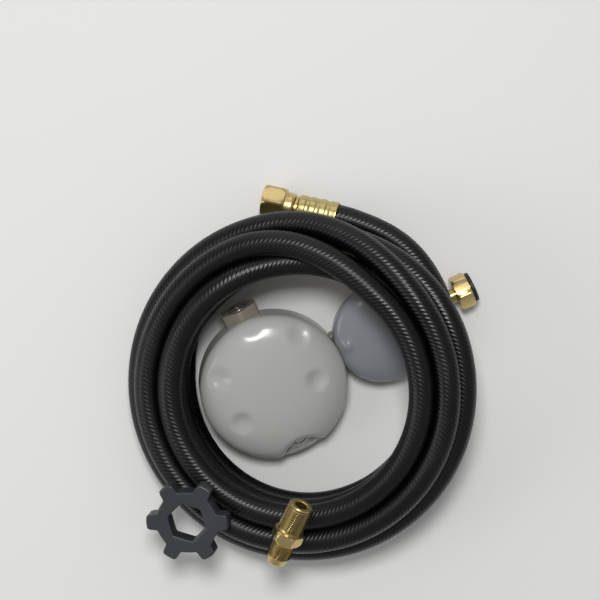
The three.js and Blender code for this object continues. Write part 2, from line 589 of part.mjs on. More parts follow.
// The coil lies on the floor on one side and on the regulator on the other. Its tilt is the
// steepest that any corner of the regulator under it asks for.
const uphill = new THREE.Vector3(Math.cos(degrees(hose.uphill)), Math.sin(degrees(hose.uphill)), 0);
const [floorRadius] = strands[0];
const coilOuterRadius = Math.max(...coilOutline.map(([radius]) => radius));

function coilTilt() {
  const corner = new THREE.Vector3();
  let tilt = 0;
  regulatorGroup.traverse((mesh) => {
    if (!mesh.isMesh) return;
    const corners = mesh.geometry.getAttribute('position');
    for (let i = 0; i < corners.count; i += 1) {
      corner.fromBufferAttribute(corners, i).applyMatrix4(mesh.matrixWorld);
      const radius = Math.hypot(corner.x, corner.y);
      if (radius < hose.coilInnerRadius || radius > coilOuterRadius) continue;
      tilt = Math.max(tilt, Math.atan2(corner.z + 2 * GAP, corner.dot(uphill) + floorRadius));
    }
  });
  return tilt;
}

coilGroup.quaternion.setFromAxisAngle(new THREE.Vector3(uphill.y, -uphill.x, 0), coilTilt());
standOn(coilGroup, 0);
hoseGroup.add(coilGroup);

// One end of the hose: stem, swivel nut, ferrule and the end of the hose inside it, along +X
// from the nut's open face.
function hoseEnd(letter, spec) {
  const group = new THREE.Group();
  const neckEnd = fitting.nutLength + fitting.neckLength;
  const beyond = fitting.ferruleEnd + PAST;
  place(group, `swivel_nut_${letter}`, cut(join([
    nutBlank(fitting.nutAcrossFlats, 0, fitting.nutLength, [0, 0, 0], degrees(spec.turn)),
    bar('x', fitting.neckRadius, fitting.nutLength - PAST, neckEnd),
  ]), [
    bar('x', fitting.mouthRadius + GAP, -PAST, fitting.mouthDepth),
    bar('x', fitting.shoulderRadius, 0, beyond),
  ]), 'brass');
  const stemFlange = fitting.mouthDepth - SLIDE_GAP;
  const collar = [neckEnd + SLIDE_GAP, fitting.ferruleStart - GAP];
  const barbEnd = fitting.ferruleEnd - fitting.barbShort;
  place(group, `hose_stem_${letter}`, turned([
    [fitting.bore, fitting.coneTip], [fitting.coneTipRadius, fitting.coneTip], [fitting.coneRadius, fitting.coneBase],
    [fitting.coneRadius, stemFlange], [fitting.stemRadius, stemFlange], [fitting.stemRadius, collar[0]],
    [fitting.collarRadius, collar[0]], [fitting.collarRadius, collar[1]], [fitting.barbRadius, collar[1]],
    [fitting.barbRadius, barbEnd], [fitting.bore, barbEnd],
  ], FINE, 'x'), 'brass');
  const hoseRadius = hose.diameter / 2;
  const crimps = Array.from({ length: fitting.crimpCount }, (_, i) => {
    const from = fitting.ferruleStart + fitting.crimpStart + i * fitting.crimpPitch;
    return bar('x', fitting.ferruleRadius + PAST, from, from + fitting.crimpLength)
      .subtract(bar('x', fitting.ferruleRadius - fitting.crimpDepth, 0, beyond));
  });
  place(group, `ferrule_${letter}`, cut(bar('x', fitting.ferruleRadius, fitting.ferruleStart, fitting.ferruleEnd), [
    bar('x', hoseRadius + GAP, fitting.ferruleStart + fitting.ferruleEndWall, beyond),
    bar('x', fitting.barbRadius + GAP, 0, beyond), ...crimps,
  ]), 'brass');
  place(group, `hose_end_${letter}`, cut(
    bar('x', hoseRadius, fitting.ferruleStart + fitting.ferruleEndWall + GAP, fitting.ferruleEnd),
    [bar('x', hose.bore / 2, 0, beyond)],
  ), 'rubber');
  group.rotation.set(0, -degrees(spec.pitch), degrees(spec.azimuth), 'ZYX');
  group.position.set(spec.x, spec.y, 0);
  standOn(group, 0);
  hoseGroup.add(group);
  return group;
}

// The hose from a fitting to the coil.
function hoseTail(letter, end, route) {
  const lead = LEAD.map((along) => end.localToWorld(new THREE.Vector3(fitting.ferruleEnd + along, 0, 0)));
  const curve = new THREE.CatmullRomCurve3([...lead, ...route.map((point) => new THREE.Vector3(...point))]);
  place(hoseGroup, `hose_tail_${letter}`, sweep(curve, hose.diameter / 2, TINY, 4), 'rubber');
}

hoseTail('a', hoseEnd('a', endA), TAIL_A);
hoseTail('b', hoseEnd('b', endB), TAIL_B);

// ---- Flare adapter, lying across the top of the coil --------------------------------------

const adapterLength = adapter.flareLength + adapter.hexLength + adapter.pipeLength;
const hexStart = adapter.flareLength;
const hexEnd = hexStart + adapter.hexLength;
const adapterGroup = new THREE.Group();
place(adapterGroup, 'flare_adapter', cut(join([
  turned([[0, 0], [adapter.tipRadius, 0], [adapter.noseRadius, adapter.coneLength],
    [adapter.noseRadius, adapter.noseLength], [adapter.flareRadius, adapter.noseLength],
    [adapter.flareRadius, hexStart + PAST], [0, hexStart + PAST]], FINE, 'x'),
  hexBar('x', adapter.acrossFlats, hexStart, hexEnd, [0, 0, 0], degrees(30)),
  turned([[0, hexEnd - PAST], [adapter.pipeRadius, hexEnd - PAST], [adapter.pipeTip, adapterLength], [0, adapterLength]],
    FINE, 'x'),
]), [bar('x', adapter.bore, -PAST, adapterLength + PAST, TINY)]), 'brass');

// It lies with a flat of its hexagon on the slope between the coil's two top strands.
const [topOuter, topInner] = [strands[2], strands[3]];
const slope = Math.atan2(topInner[1] - topOuter[1], topOuter[0] - topInner[0]);
const startRadius = Math.hypot(adapter.x, adapter.y);
const restHeight = topOuter[1] + (topOuter[0] - startRadius) * Math.tan(slope)
  + (hose.diameter / 2 + adapter.acrossFlats / 2 + GAP) / Math.cos(slope);
adapterGroup.rotation.set(0, -slope, degrees(adapter.azimuth), 'ZYX');
adapterGroup.position.set(adapter.x, adapter.y, restHeight);
coilGroup.add(adapterGroup);

// ---- Star handwheel, leaning on the coil --------------------------------------------------

const wheelGroup = new THREE.Group();
const star = new THREE.Shape();
for (let i = 0; i < wheel.lobes; i += 1) {
  const middle = i * 2 * Math.PI / wheel.lobes;
  const half = Math.asin(wheel.lobeWidth / 2 / wheel.rimRadius);
  const rootHalf = Math.asin(wheel.lobeWidth / 2 / wheel.rootRadius) + degrees(wheel.rootFlare);
  const side = wheel.rimRadius - wheel.lobeRound;
  const corners = [[wheel.rootRadius, -rootHalf], [side, -half], [wheel.rimRadius, -half / 2],
    [wheel.rimRadius, half / 2], [side, half], [wheel.rootRadius, rootHalf]];
  corners.forEach(([radius, angle], j) => {
    const point = [radius * Math.cos(middle + angle), radius * Math.sin(middle + angle)];
    if (i + j === 0) star.moveTo(...point);
    else star.lineTo(...point);
  });
}
star.closePath();
const wheelBlank = solidOf(new THREE.ExtrudeGeometry(star, {
  depth: wheel.thickness - 2 * wheel.bevel, bevelThickness: wheel.bevel, bevelSize: wheel.bevel,
  bevelOffset: -wheel.bevel, bevelSegments: 1, steps: 1,
})).translate([0, 0, wheel.bevel - wheel.thickness / 2]);
place(wheelGroup, 'handwheel', cut(wheelBlank, [
  hexBar('z', inlet.nutAcrossFlats + 2 * SLIDE_GAP, -wheel.thickness, wheel.thickness, [0, 0, 0], degrees(wheel.holeTurn)),
]), 'wheelPlastic');
const leanAxis = new THREE.Vector3(-Math.sin(degrees(wheel.leanAzimuth)), Math.cos(degrees(wheel.leanAzimuth)), 0);
wheelGroup.quaternion.setFromAxisAngle(leanAxis, degrees(wheel.lean));
wheelGroup.quaternion.multiply(new THREE.Quaternion().setFromAxisAngle(new THREE.Vector3(0, 0, 1), degrees(wheel.turn)));
wheelGroup.position.set(wheel.x, wheel.y, 0);
wheelGroup.updateMatrixWorld(true);

// The height at which the wheel's underside just clears the coil's highest corner under it.
function wheelHeight() {
  coilGroup.updateMatrixWorld(true);
  const normal = new THREE.Vector3(0, 0, 1).applyQuaternion(wheelGroup.quaternion);
  const coilMesh = coilGroup.getObjectByName('hose_coil');
  const corners = coilMesh.geometry.getAttribute('position');
  const corner = new THREE.Vector3();
  let height = 0;
  for (let i = 0; i < corners.count; i += 1) {
    corner.fromBufferAttribute(corners, i).applyMatrix4(coilMesh.matrixWorld);
    const [dx, dy] = [corner.x - wheel.x, corner.y - wheel.y];
    if (Math.hypot(dx, dy) > wheel.rimRadius + wheel.bevel) continue;
    height = Math.max(height, corner.z + (dx * normal.x + dy * normal.y) / normal.z);
  }
  return height + (wheel.thickness / 2 + GAP) / normal.z;
}
wheelGroup.position.z = wheelHeight();
hoseGroup.add(wheelGroup);

// ---- The whole kit, its origin under the middle of the regulator, adapter and wheel --------

const kit = new THREE.Group();
kit.add(regulatorGroup, hoseGroup);
kit.updateMatrixWorld(true);
const standing = new THREE.Box3();
for (const part of [regulatorGroup, adapterGroup, wheelGroup]) standing.union(new THREE.Box3().setFromObject(part, true));
const middle = standing.getCenter(new THREE.Vector3());
kit.position.set(-middle.x, -middle.y, 0);

export default kit;
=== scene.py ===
import json
import logging
import math
from dataclasses import dataclass
from enum import Enum
from typing import Callable, NamedTuple, Sequence

import bmesh
import bpy
from mathutils import Matrix, Vector


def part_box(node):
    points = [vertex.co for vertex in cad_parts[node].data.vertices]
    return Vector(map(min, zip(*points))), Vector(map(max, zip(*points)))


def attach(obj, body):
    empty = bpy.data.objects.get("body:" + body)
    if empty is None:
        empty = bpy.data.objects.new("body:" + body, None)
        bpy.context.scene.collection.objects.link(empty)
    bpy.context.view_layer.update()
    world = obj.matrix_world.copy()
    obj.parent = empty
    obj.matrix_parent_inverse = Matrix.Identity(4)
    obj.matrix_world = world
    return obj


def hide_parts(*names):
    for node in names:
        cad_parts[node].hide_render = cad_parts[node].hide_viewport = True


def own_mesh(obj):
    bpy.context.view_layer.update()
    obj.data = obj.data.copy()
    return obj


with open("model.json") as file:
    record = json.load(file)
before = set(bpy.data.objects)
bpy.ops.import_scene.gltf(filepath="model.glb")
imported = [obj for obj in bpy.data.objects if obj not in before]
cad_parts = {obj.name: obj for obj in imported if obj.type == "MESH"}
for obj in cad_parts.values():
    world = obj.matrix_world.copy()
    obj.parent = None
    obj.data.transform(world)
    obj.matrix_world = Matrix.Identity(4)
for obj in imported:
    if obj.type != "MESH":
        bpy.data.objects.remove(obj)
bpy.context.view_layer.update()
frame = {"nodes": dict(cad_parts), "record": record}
LOG = logging.getLogger("propane_hose_kit")

MM = 0.001
GAP = 0.3
HEX_STEPS = (0.0, 0.8, 2.4, 5.0, 10.0, 15.0, 20.0, 25.0)
HEX_CORNER = 0.581
THREAD_PITCH = 1.41
THREAD_DEPTH = 0.86
WELD = 2e-5
OUTLET_FACE = Vector((9.7, 56.5, -3.0))
ADAPTER_MOUNT_OUT = 4.8
HOSE_END_MOUNT_OUT = 8.9

Place = tuple[float, float, float]
Socket = bpy.types.NodeSocket
Sockets = bpy.types.NodeOutputs


# ---- Frames ----------------------------------------------------------------------------------


def place_frame(origin: Vector, x: Vector, y: Vector, z: Vector) -> Matrix:
    """Builds the matrix from local millimetres to the row's metres.

    Args:
        origin: Local origin, in metres.
        x: Direction of the local X axis.
        y: Direction of the local Y axis.
        z: Direction of the local Z axis.

    Returns:
        The matrix.
    """
    turn = Matrix((x * MM, y * MM, z * MM)).transposed()
    return Matrix.Translation(origin) @ turn.to_4x4()


def shift(at: Matrix, x: float = 0.0, y: float = 0.0, z: float = 0.0) -> Matrix:
    """Returns a local frame moved by local millimetres."""
    return at @ Matrix.Translation(Vector((x, y, z)))


def mount_of(name: str) -> tuple[Vector, Vector]:
    """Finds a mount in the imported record.

    Args:
        name: The mount's name.

    Returns:
        Its place in metres and its outward direction.
    """
    mount = next(m for m in frame["record"]["mounts"] if m["name"] == name)
    return Vector(mount["pos_m"]), Vector(mount["axis"]).normalized()


def regulator_frame() -> Matrix:
    """Finds the regulator's own frame: X to the inlet, Y to the outlet, Z through the cover.

    Returns:
        The frame, from local millimetres to metres.
    """
    outlet, y = mount_of("outlet_face")
    x = mount_of("inlet_face")[1]
    z = x.cross(y).normalized()
    face = OUTLET_FACE * MM
    return place_frame(outlet - (x * face.x + y * face.y + z * face.z), x, y, z)


def hose_end_frame(mount: str) -> Matrix:
    """Finds a hose end's frame: X along its bore to the hose, Y level, Z upward.

    Args:
        mount: Name of the mount on its open face.

    Returns:
        The frame.
    """
    place, axis = mount_of(mount)
    x = -axis
    y = Vector((0, 0, 1)).cross(x).normalized()
    z = x.cross(y).normalized()
    return place_frame(place - z * HOSE_END_MOUNT_OUT * MM, x, y, z)


def adapter_frame() -> Matrix:
    """Finds the adapter's frame: X from its flare end to its pipe end.

    Returns:
        The frame.
    """
    flare, back = mount_of("adapter_flare_face")
    pipe = mount_of("adapter_pipe_face")[0]
    x = -back
    z = (pipe - flare - x * (pipe - flare).dot(x)).normalized()
    return place_frame(flare - z * ADAPTER_MOUNT_OUT * MM, x, z.cross(x).normalized(), z)


def wheel_frame() -> Matrix:
    """Finds the handwheel's frame: Z through its hole, X through a lobe.

    Returns:
        The frame.
    """
    place, z = mount_of("handwheel_face")
    low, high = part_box("handwheel")
    centre = (Vector(low) + Vector(high)) / 2
    x = (place - centre - z * (place - centre).dot(z)).normalized()
    return place_frame(centre, x, z.cross(x).normalized(), z)


# ---- Meshes ----------------------------------------------------------------------------------


class Axis(Enum):
    """The local axis that a turned piece is turned about."""

    X = "x"
    Y = "y"
    Z = "z"

    def point(self, radius: float, angle: float, along: float) -> Place:
        """Finds a point about the axis.

        Args:
            radius: Distance from the axis.
            angle: Angle about it, in radians.
            along: Place along it.

        Returns:
            The point.
        """
        across, up = radius * math.cos(angle), radius * math.sin(angle)
        if self is Axis.X:
            return along, across, up
        if self is Axis.Y:
            return up, along, across
        return across, up, along


class Form(Enum):
    """How the outline of a turned piece runs round at one place."""

    ROUND = "round"
    HEX = "hex"
    THREAD = "thread"


class Ring(NamedTuple):
    """One place of a turned outline: radius and place along the axis, in millimetres."""

    radius: float
    along: float
    form: Form = Form.ROUND


def make_object(name: str, points: Sequence[Place | Vector], faces: Sequence[Sequence[int]],
                at: Matrix) -> bpy.types.Object:
    """Makes a mesh object whose origin is the row's.

    Args:
        name: The piece's name.
        points: Local points.
        faces: Corner numbers of each face.
        at: The local frame.

    Returns:
        The new object.
    """
    mesh = bpy.data.meshes.new(name)
    mesh.from_pydata([tuple(at @ Vector(p)) for p in points], [], faces)
    mesh.update()
    piece = bpy.data.objects.new(name, mesh)
    bpy.context.scene.collection.objects.link(piece)
    return piece


def tube_faces(rows: int, count: int, looped: bool) -> list[tuple[int, ...]]:
    """Returns the faces of a tube of equal rows of points.

    Args:
        rows: Number of rows.
        count: Points in each row.
        looped: Whether the last row joins the first; the ends are capped otherwise.

    Returns:
        Corner numbers of each face.
    """
    faces: list[tuple[int, ...]] = [
        (r * count + c, r * count + (c + 1) % count,
         (r + 1) % rows * count + (c + 1) % count, (r + 1) % rows * count + c)
        for r in range(rows if looped else rows - 1) for c in range(count)
    ]
    if not looped:
        faces.append(tuple(reversed(range(count))))
        faces.append(tuple((rows - 1) * count + c for c in range(count)))
    return faces


def smooth_shade(piece: bpy.types.Object, sharp_degrees: float = 32.0) -> None:
    """Shades a piece smooth, with its edges kept sharp above an angle.

    Args:
        piece: The mesh object.
        sharp_degrees: Edges that turn by more stay sharp.
    """
    work = bmesh.new()
    work.from_mesh(piece.data)
    limit = math.radians(sharp_degrees)
    for edge in work.edges:
        edge.smooth = len(edge.link_faces) == 2 and edge.calc_face_angle(0.0) < limit
    for face in work.faces:
        face.smooth = True
    work.to_mesh(piece.data)
    work.free()


def clean(piece: bpy.types.Object, merge: float = 1e-6) -> None:
    """Merges doubled points, drops flat faces and turns all faces outward.

    Args:
        piece: The mesh object.
        merge: Distance at which points merge, in metres.
    """
    work = bmesh.new()
    work.from_mesh(piece.data)
    bmesh.ops.remove_doubles(work, verts=work.verts, dist=merge)
    bmesh.ops.dissolve_degenerate(work, dist=merge, edges=work.edges)
    bmesh.ops.recalc_face_normals(work, faces=work.faces)
    work.to_mesh(piece.data)
    work.free()


def round_angles(sides: int) -> list[float]:
    """Returns even angles round a circle, in radians."""
    return [2 * math.pi * i / sides for i in range(sides)]


def hex_angles() -> list[float]:
    """Returns angles round a hexagon, close together at its corners, in radians."""
    steps = [*HEX_STEPS, 30, *(60 - step for step in reversed(HEX_STEPS[1:]))]
    return [math.radians(corner * 60 + step) for corner in range(6) for step in steps]


def hex_radius(across_flats: float, angle: float, rounding: float = 0.35) -> float:
    """Returns a hexagon's radius at an angle, with its corners slightly rounded.

    Args:
        across_flats: Size across flats.
        angle: Angle from a corner, in radians.
        rounding: How far each corner is taken in.

    Returns:
        The radius.
    """
    from_corner = (angle + math.pi / 6) % (math.pi / 3) - math.pi / 6
    sharp = across_flats / 2 / math.cos(math.pi / 6 - abs(from_corner))
    return sharp - rounding * math.exp(-((math.degrees(from_corner) / 3.0) ** 2))


@dataclass
class Turned:
    """A piece turned on a lathe, with hexagonal and threaded stretches where it has them.

    A ring is given as a Ring, or plainly as (radius, along) or (radius, along, form).
    """

    name: str
    rings: Sequence[Ring | tuple]
    at: Matrix
    axis: Axis = Axis.X
    turn: float = 0.0
    across_flats: float = 0.0
    sides: int = 0
    sharp: float = 32.0

    def cut(self, ring: Ring, angle: float) -> float:
        """Finds how deep a thread is cut.

        Args:
            ring: The ring.
            angle: Angle round the axis, in radians.

        Returns:
            0 at a crest or where there is no thread, up to 1 in a groove.
        """
        if ring.form is not Form.THREAD:
            return 0.0
        phase = (ring.along / THREAD_PITCH - angle / (2 * math.pi)) % 1.0
        return min(1.0, 1.5 * abs(2 * phase - 1))

    def radius_at(self, ring: Ring, angle: float) -> float:
        """Returns the radius of one ring at an angle.

        Args:
            ring: The ring.
            angle: Angle round the axis, in radians.

        Returns:
            The radius in millimetres.
        """
        if ring.form is Form.HEX:
            return min(ring.radius, hex_radius(self.across_flats, angle + math.radians(self.turn)))
        return ring.radius - THREAD_DEPTH * self.cut(ring, angle)

    def build(self) -> bpy.types.Object:
        """Builds the closed mesh, with a UV and with the depth of its grooves as an attribute.

        Returns:
            The new object.
        """
        rings = [Ring(*ring) for ring in self.rings]
        angles = [a - math.radians(self.turn) for a in hex_angles()]
        if self.sides:
            angles = round_angles(self.sides)
        points = [self.axis.point(self.radius_at(ring, a), a, ring.along) for ring in rings for a in angles]
        count, rows = len(angles), len(rings)
        piece = make_object(self.name, points, tube_faces(rows, count, True), self.at)
        layer = piece.data.uv_layers.new(name="UVMap")
        uvs = [
            value for r in range(rows) for c in range(count)
            for column, ring in ((c, rings[r]), (c + 1, rings[r]), (c + 1, rings[(r + 1) % rows]),
                                 (c, rings[(r + 1) % rows]))
            for value in (column / count, (ring.along + ring.radius) / 50.0)
        ]
        layer.data.foreach_set("uv", uvs)
        # The groove depth also sets the painted shade in thread grooves.
        grooves = piece.data.attributes.new("groove", "FLOAT", "POINT")
        grooves.data.foreach_set("value", [self.cut(ring, a) for ring in rings for a in angles])
        clean(piece)
        smooth_shade(piece, self.sharp)
        return piece


def thread_rings(radius_from: float, radius_to: float, start: float, end: float) -> list[Ring]:
    """Returns close rings for a threaded stretch.

    Args:
        radius_from: Crest radius at the start.
        radius_to: Crest radius at the end.
        start: Where it starts along the axis.
        end: Where it ends.

    Returns:
        The rings, in order.
    """
    steps = max(4, round((end - start) / THREAD_PITCH * 8))
    rise, run = (radius_to - radius_from) / steps, (end - start) / steps
    return [Ring(radius_from + rise * i, start + run * i, Form.THREAD) for i in range(steps + 1)]


def arc_rings(centre: tuple[float, float], radius: float, start: float, end: float,
              steps: int = 5) -> list[Ring]:
    """Returns rings along an arc of the outline.

    Args:
        centre: The arc's centre as radius and place along.
        radius: The arc's radius.
        start: First angle in degrees, 0 outward and 90 along the axis.
        end: Last angle.
        steps: Number of steps.

    Returns:
        The rings, in order.
    """
    angles = (math.radians(start + (end - start) * i / steps) for i in range(steps + 1))
    return [Ring(centre[0] + radius * math.cos(a), centre[1] + radius * math.sin(a)) for a in angles]


class Mode(Enum):
    """How one solid works on another."""

    CUT = "DIFFERENCE"
    JOIN = "UNION"


def work_on(piece: bpy.types.Object, tools: Sequence[bpy.types.Object], mode: Mode) -> None:
    """Cuts tools out of a piece or joins them to it, and deletes them.

    Args:
        piece: The piece to change.
        tools: Closed meshes.
        mode: Cut or join.
    """
    bpy.context.view_layer.objects.active = piece
    for tool in tools:
        modifier = piece.modifiers.new("work", "BOOLEAN")
        modifier.operation = mode.value
        modifier.solver = "EXACT"
        modifier.object = tool
    bake_modifiers(piece)
    for tool in tools:
        mesh = tool.data
        bpy.data.objects.remove(tool)
        bpy.data.meshes.remove(mesh)


def bake_modifiers(piece: bpy.types.Object) -> None:
    """Writes a piece's modifiers into its mesh.

    Args:
        piece: The mesh object.
    """
    graph = bpy.context.evaluated_depsgraph_get()
    graph.update()
    made = bpy.data.meshes.new_from_object(piece.evaluated_get(graph))
    old = piece.data
    piece.modifiers.clear()
    piece.data = made
    made.name = piece.name
    bpy.data.meshes.remove(old)


def block(name: str, low: Place, high: Place, at: Matrix) -> bpy.types.Object:
    """Makes a plain block to cut or join with.

    Args:
        name: Its name.
        low: Lowest corner in local millimetres.
        high: Highest corner.
        at: The local frame.

    Returns:
        The new object.
    """
    points = [(x, y, z) for x in (low[0], high[0]) for y in (low[1], high[1]) for z in (low[2], high[2])]
    faces = [(0, 1, 3, 2), (4, 6, 7, 5), (0, 4, 5, 1), (2, 3, 7, 6), (0, 2, 6, 4), (1, 5, 7, 3)]
    return make_object(name, points, faces, at)


def rod(name: str, radius: float, start: float, end: float, at: Matrix, axis: Axis = Axis.Z,
        sides: int = 64) -> bpy.types.Object:
    """Makes a round rod to cut or join with.

    Args:
        name: Its name.
        radius: Its radius.
        start: Where it starts along the axis.
        end: Where it ends.
        at: The local frame.
        axis: Its axis.
        sides: Number of facets.

    Returns:
        The new object.
    """
    rings = [(0.0, start), (radius, start), (radius, end), (0.0, end)]
    return Turned(name, rings, at, axis, sides=sides).build()


# ---- Finishes --------------------------------------------------------------------------------

MADE: dict[str, bpy.types.ID] = {}


@dataclass
class Graph:
    """A node tree that is being filled."""

    tree: bpy.types.NodeTree

    def feed(self, socket: Socket, value: object) -> None:
        """Links a socket to another one, or sets its value.

        Args:
            socket: The input.
            value: An output to link it to, or a plain value.
        """
        if isinstance(value, Socket):
            self.tree.links.new(value, socket)
        else:
            socket.default_value = value

    def add(self, kind: str, inputs: dict[str | int, object], **settings: object) -> Sockets:
        """Adds a shader node.

        Args:
            kind: Its type.
            inputs: What its inputs are linked or set to, by name or number.
            settings: Its other settings.

        Returns:
            Its outputs.
        """
        node = self.tree.nodes.new(f"ShaderNode{kind}")
        for key, value in settings.items():
            setattr(node, key, value)
        for key, value in inputs.items():
            self.feed(node.inputs[key], value)
        return node.outputs

    def calc(self, operation: str, *inputs: object, clamp: bool = False) -> Socket:
        """Adds a Math node and returns its result."""
        return self.add("Math", dict(enumerate(inputs)), operation=operation, use_clamp=clamp)[0]

    def mix(self, share: object, under: object, over: object) -> Socket:
        """Mixes two colours and returns the result."""
        return self.add("Mix", {0: share, 6: under, 7: over}, data_type="RGBA")[2]


@dataclass(frozen=True)
class Effect:
    """A node group that more than one finish uses: a vector and some values in, values out."""

    name: str
    inputs: dict[str, float]
    outputs: tuple[str, ...]
    fill: Callable[[Graph, Sockets], Sequence[Socket]]

    def tree(self) -> bpy.types.NodeTree:
        """Finds the group's tree, made the first time it is asked for.

        Returns:
            The tree.
        """
        if self.name in MADE:
            return MADE[self.name]
        tree = MADE[self.name] = bpy.data.node_groups.new(self.name, "ShaderNodeTree")
        tree.interface.new_socket("Vector", in_out="INPUT", socket_type="NodeSocketVector")
        for key, value in self.inputs.items():
            socket = tree.interface.new_socket(key, in_out="INPUT", socket_type="NodeSocketFloat")
            socket.default_value = value
        for key in self.outputs:
            tree.interface.new_socket(key, in_out="OUTPUT", socket_type="NodeSocketFloat")
        source, sink = tree.nodes.new("NodeGroupInput"), tree.nodes.new("NodeGroupOutput")
        graph = Graph(tree)
        for key, value in zip(self.outputs, self.fill(graph, source.outputs)):
            graph.feed(sink.inputs[key], value)
        return tree

    def use(self, graph: Graph, inputs: dict[str | int, object]) -> Sockets:
        """Adds the group to a material and returns its outputs."""
        return graph.add("Group", inputs, node_tree=self.tree())


def fill_grain(graph: Graph, given: Sockets) -> list[Socket]:
    """Fine grain and broad unevenness of a moulded or painted surface."""
    return [graph.add("TexNoise", {"Vector": given["Vector"], "Scale": given[key], "Detail": 3.0})["Fac"]
            for key in ("Fine", "Broad")]


def fill_wear_and_highlight(graph: Graph, given: Sockets) -> list[Socket]:
    """Rubbed edges and painted edge highlights: high where the surface bends outward, broken up by noise.

    Args:
        graph: The group's graph.
        given: The group's inputs.

    Returns:
        The strength of the rubbed wear and painted highlight at each place.
    """
    noise = graph.add("TexNoise", {"Vector": given["Vector"], "Scale": given["Scale"]})["Fac"]
    bent = graph.calc("SUBTRACT", graph.add("NewGeometry", {})["Pointiness"], given["Edge"])
    return [graph.calc("MULTIPLY", graph.calc("MULTIPLY", bent, given["Steep"]), noise, clamp=True)]


def fill_crevice_shade(graph: Graph, given: Sockets) -> list[Socket]:
    """Painted shade in hollows: high where the surface bends inward."""
    bent = graph.calc("SUBTRACT", given["Edge"], graph.add("NewGeometry", {})["Pointiness"])
    return [graph.calc("MULTIPLY", bent, given["Steep"], clamp=True)]


def fill_marks(graph: Graph, given: Sockets) -> list[Socket]:
    """Fine rings that a lathe leaves, from the UV's place along the axis.

    Args:
        graph: The group's graph.
        given: The group's inputs.

    Returns:
        Their height.
    """
    along = graph.add("SeparateXYZ", {0: given["Vector"]})["Y"]
    rings = {"W": along, "Scale": given["Rings"], "Detail": 2.0}
    return [graph.add("TexNoise", rings, noise_dimensions="1D")["Fac"]]


def fill_ribs(graph: Graph, given: Sockets) -> list[Socket]:
    """The valleys between a hose's ribs, from the UV's place round it in metres.

    Args:
        graph: The group's graph.
        given: The group's inputs.

    Returns:
        How far each place lies in a valley.
    """
    turn = graph.calc("DIVIDE", graph.add("SeparateXYZ", {0: given["Vector"]})["Y"], given["Girth"])
    angle = graph.calc("MULTIPLY", graph.calc("MULTIPLY", turn, given["Starts"]), 2 * math.pi)
    return [graph.calc("MULTIPLY_ADD", graph.calc("COSINE", angle), 0.5, 0.5)]


MOULDED_GRAIN = Effect("moulded_grain", {"Fine": 900.0, "Broad": 30.0}, ("Height", "Broad"), fill_grain)
# Lighter outward edges: rubbed paint on the casting, painted highlights on the wheel's edges.
EDGE_WEAR_AND_HIGHLIGHT = Effect("edge_wear_and_highlight", {"Edge": 0.54, "Scale": 400.0, "Steep": 14.0}, ("WearAndHighlight",), fill_wear_and_highlight)
# Painted shade: darkens hollows where shade falls.
CREVICE_SHADE = Effect("crevice_shade", {"Edge": 0.49, "Steep": 12.0}, ("PaintedShade",), fill_crevice_shade)
TURNING_MARKS = Effect("turning_marks", {"Rings": 260.0}, ("Height",), fill_marks)
WOUND_RIBS = Effect("wound_ribs", {"Starts": 13.0, "Girth": 0.0534}, ("Valley",), fill_ribs)


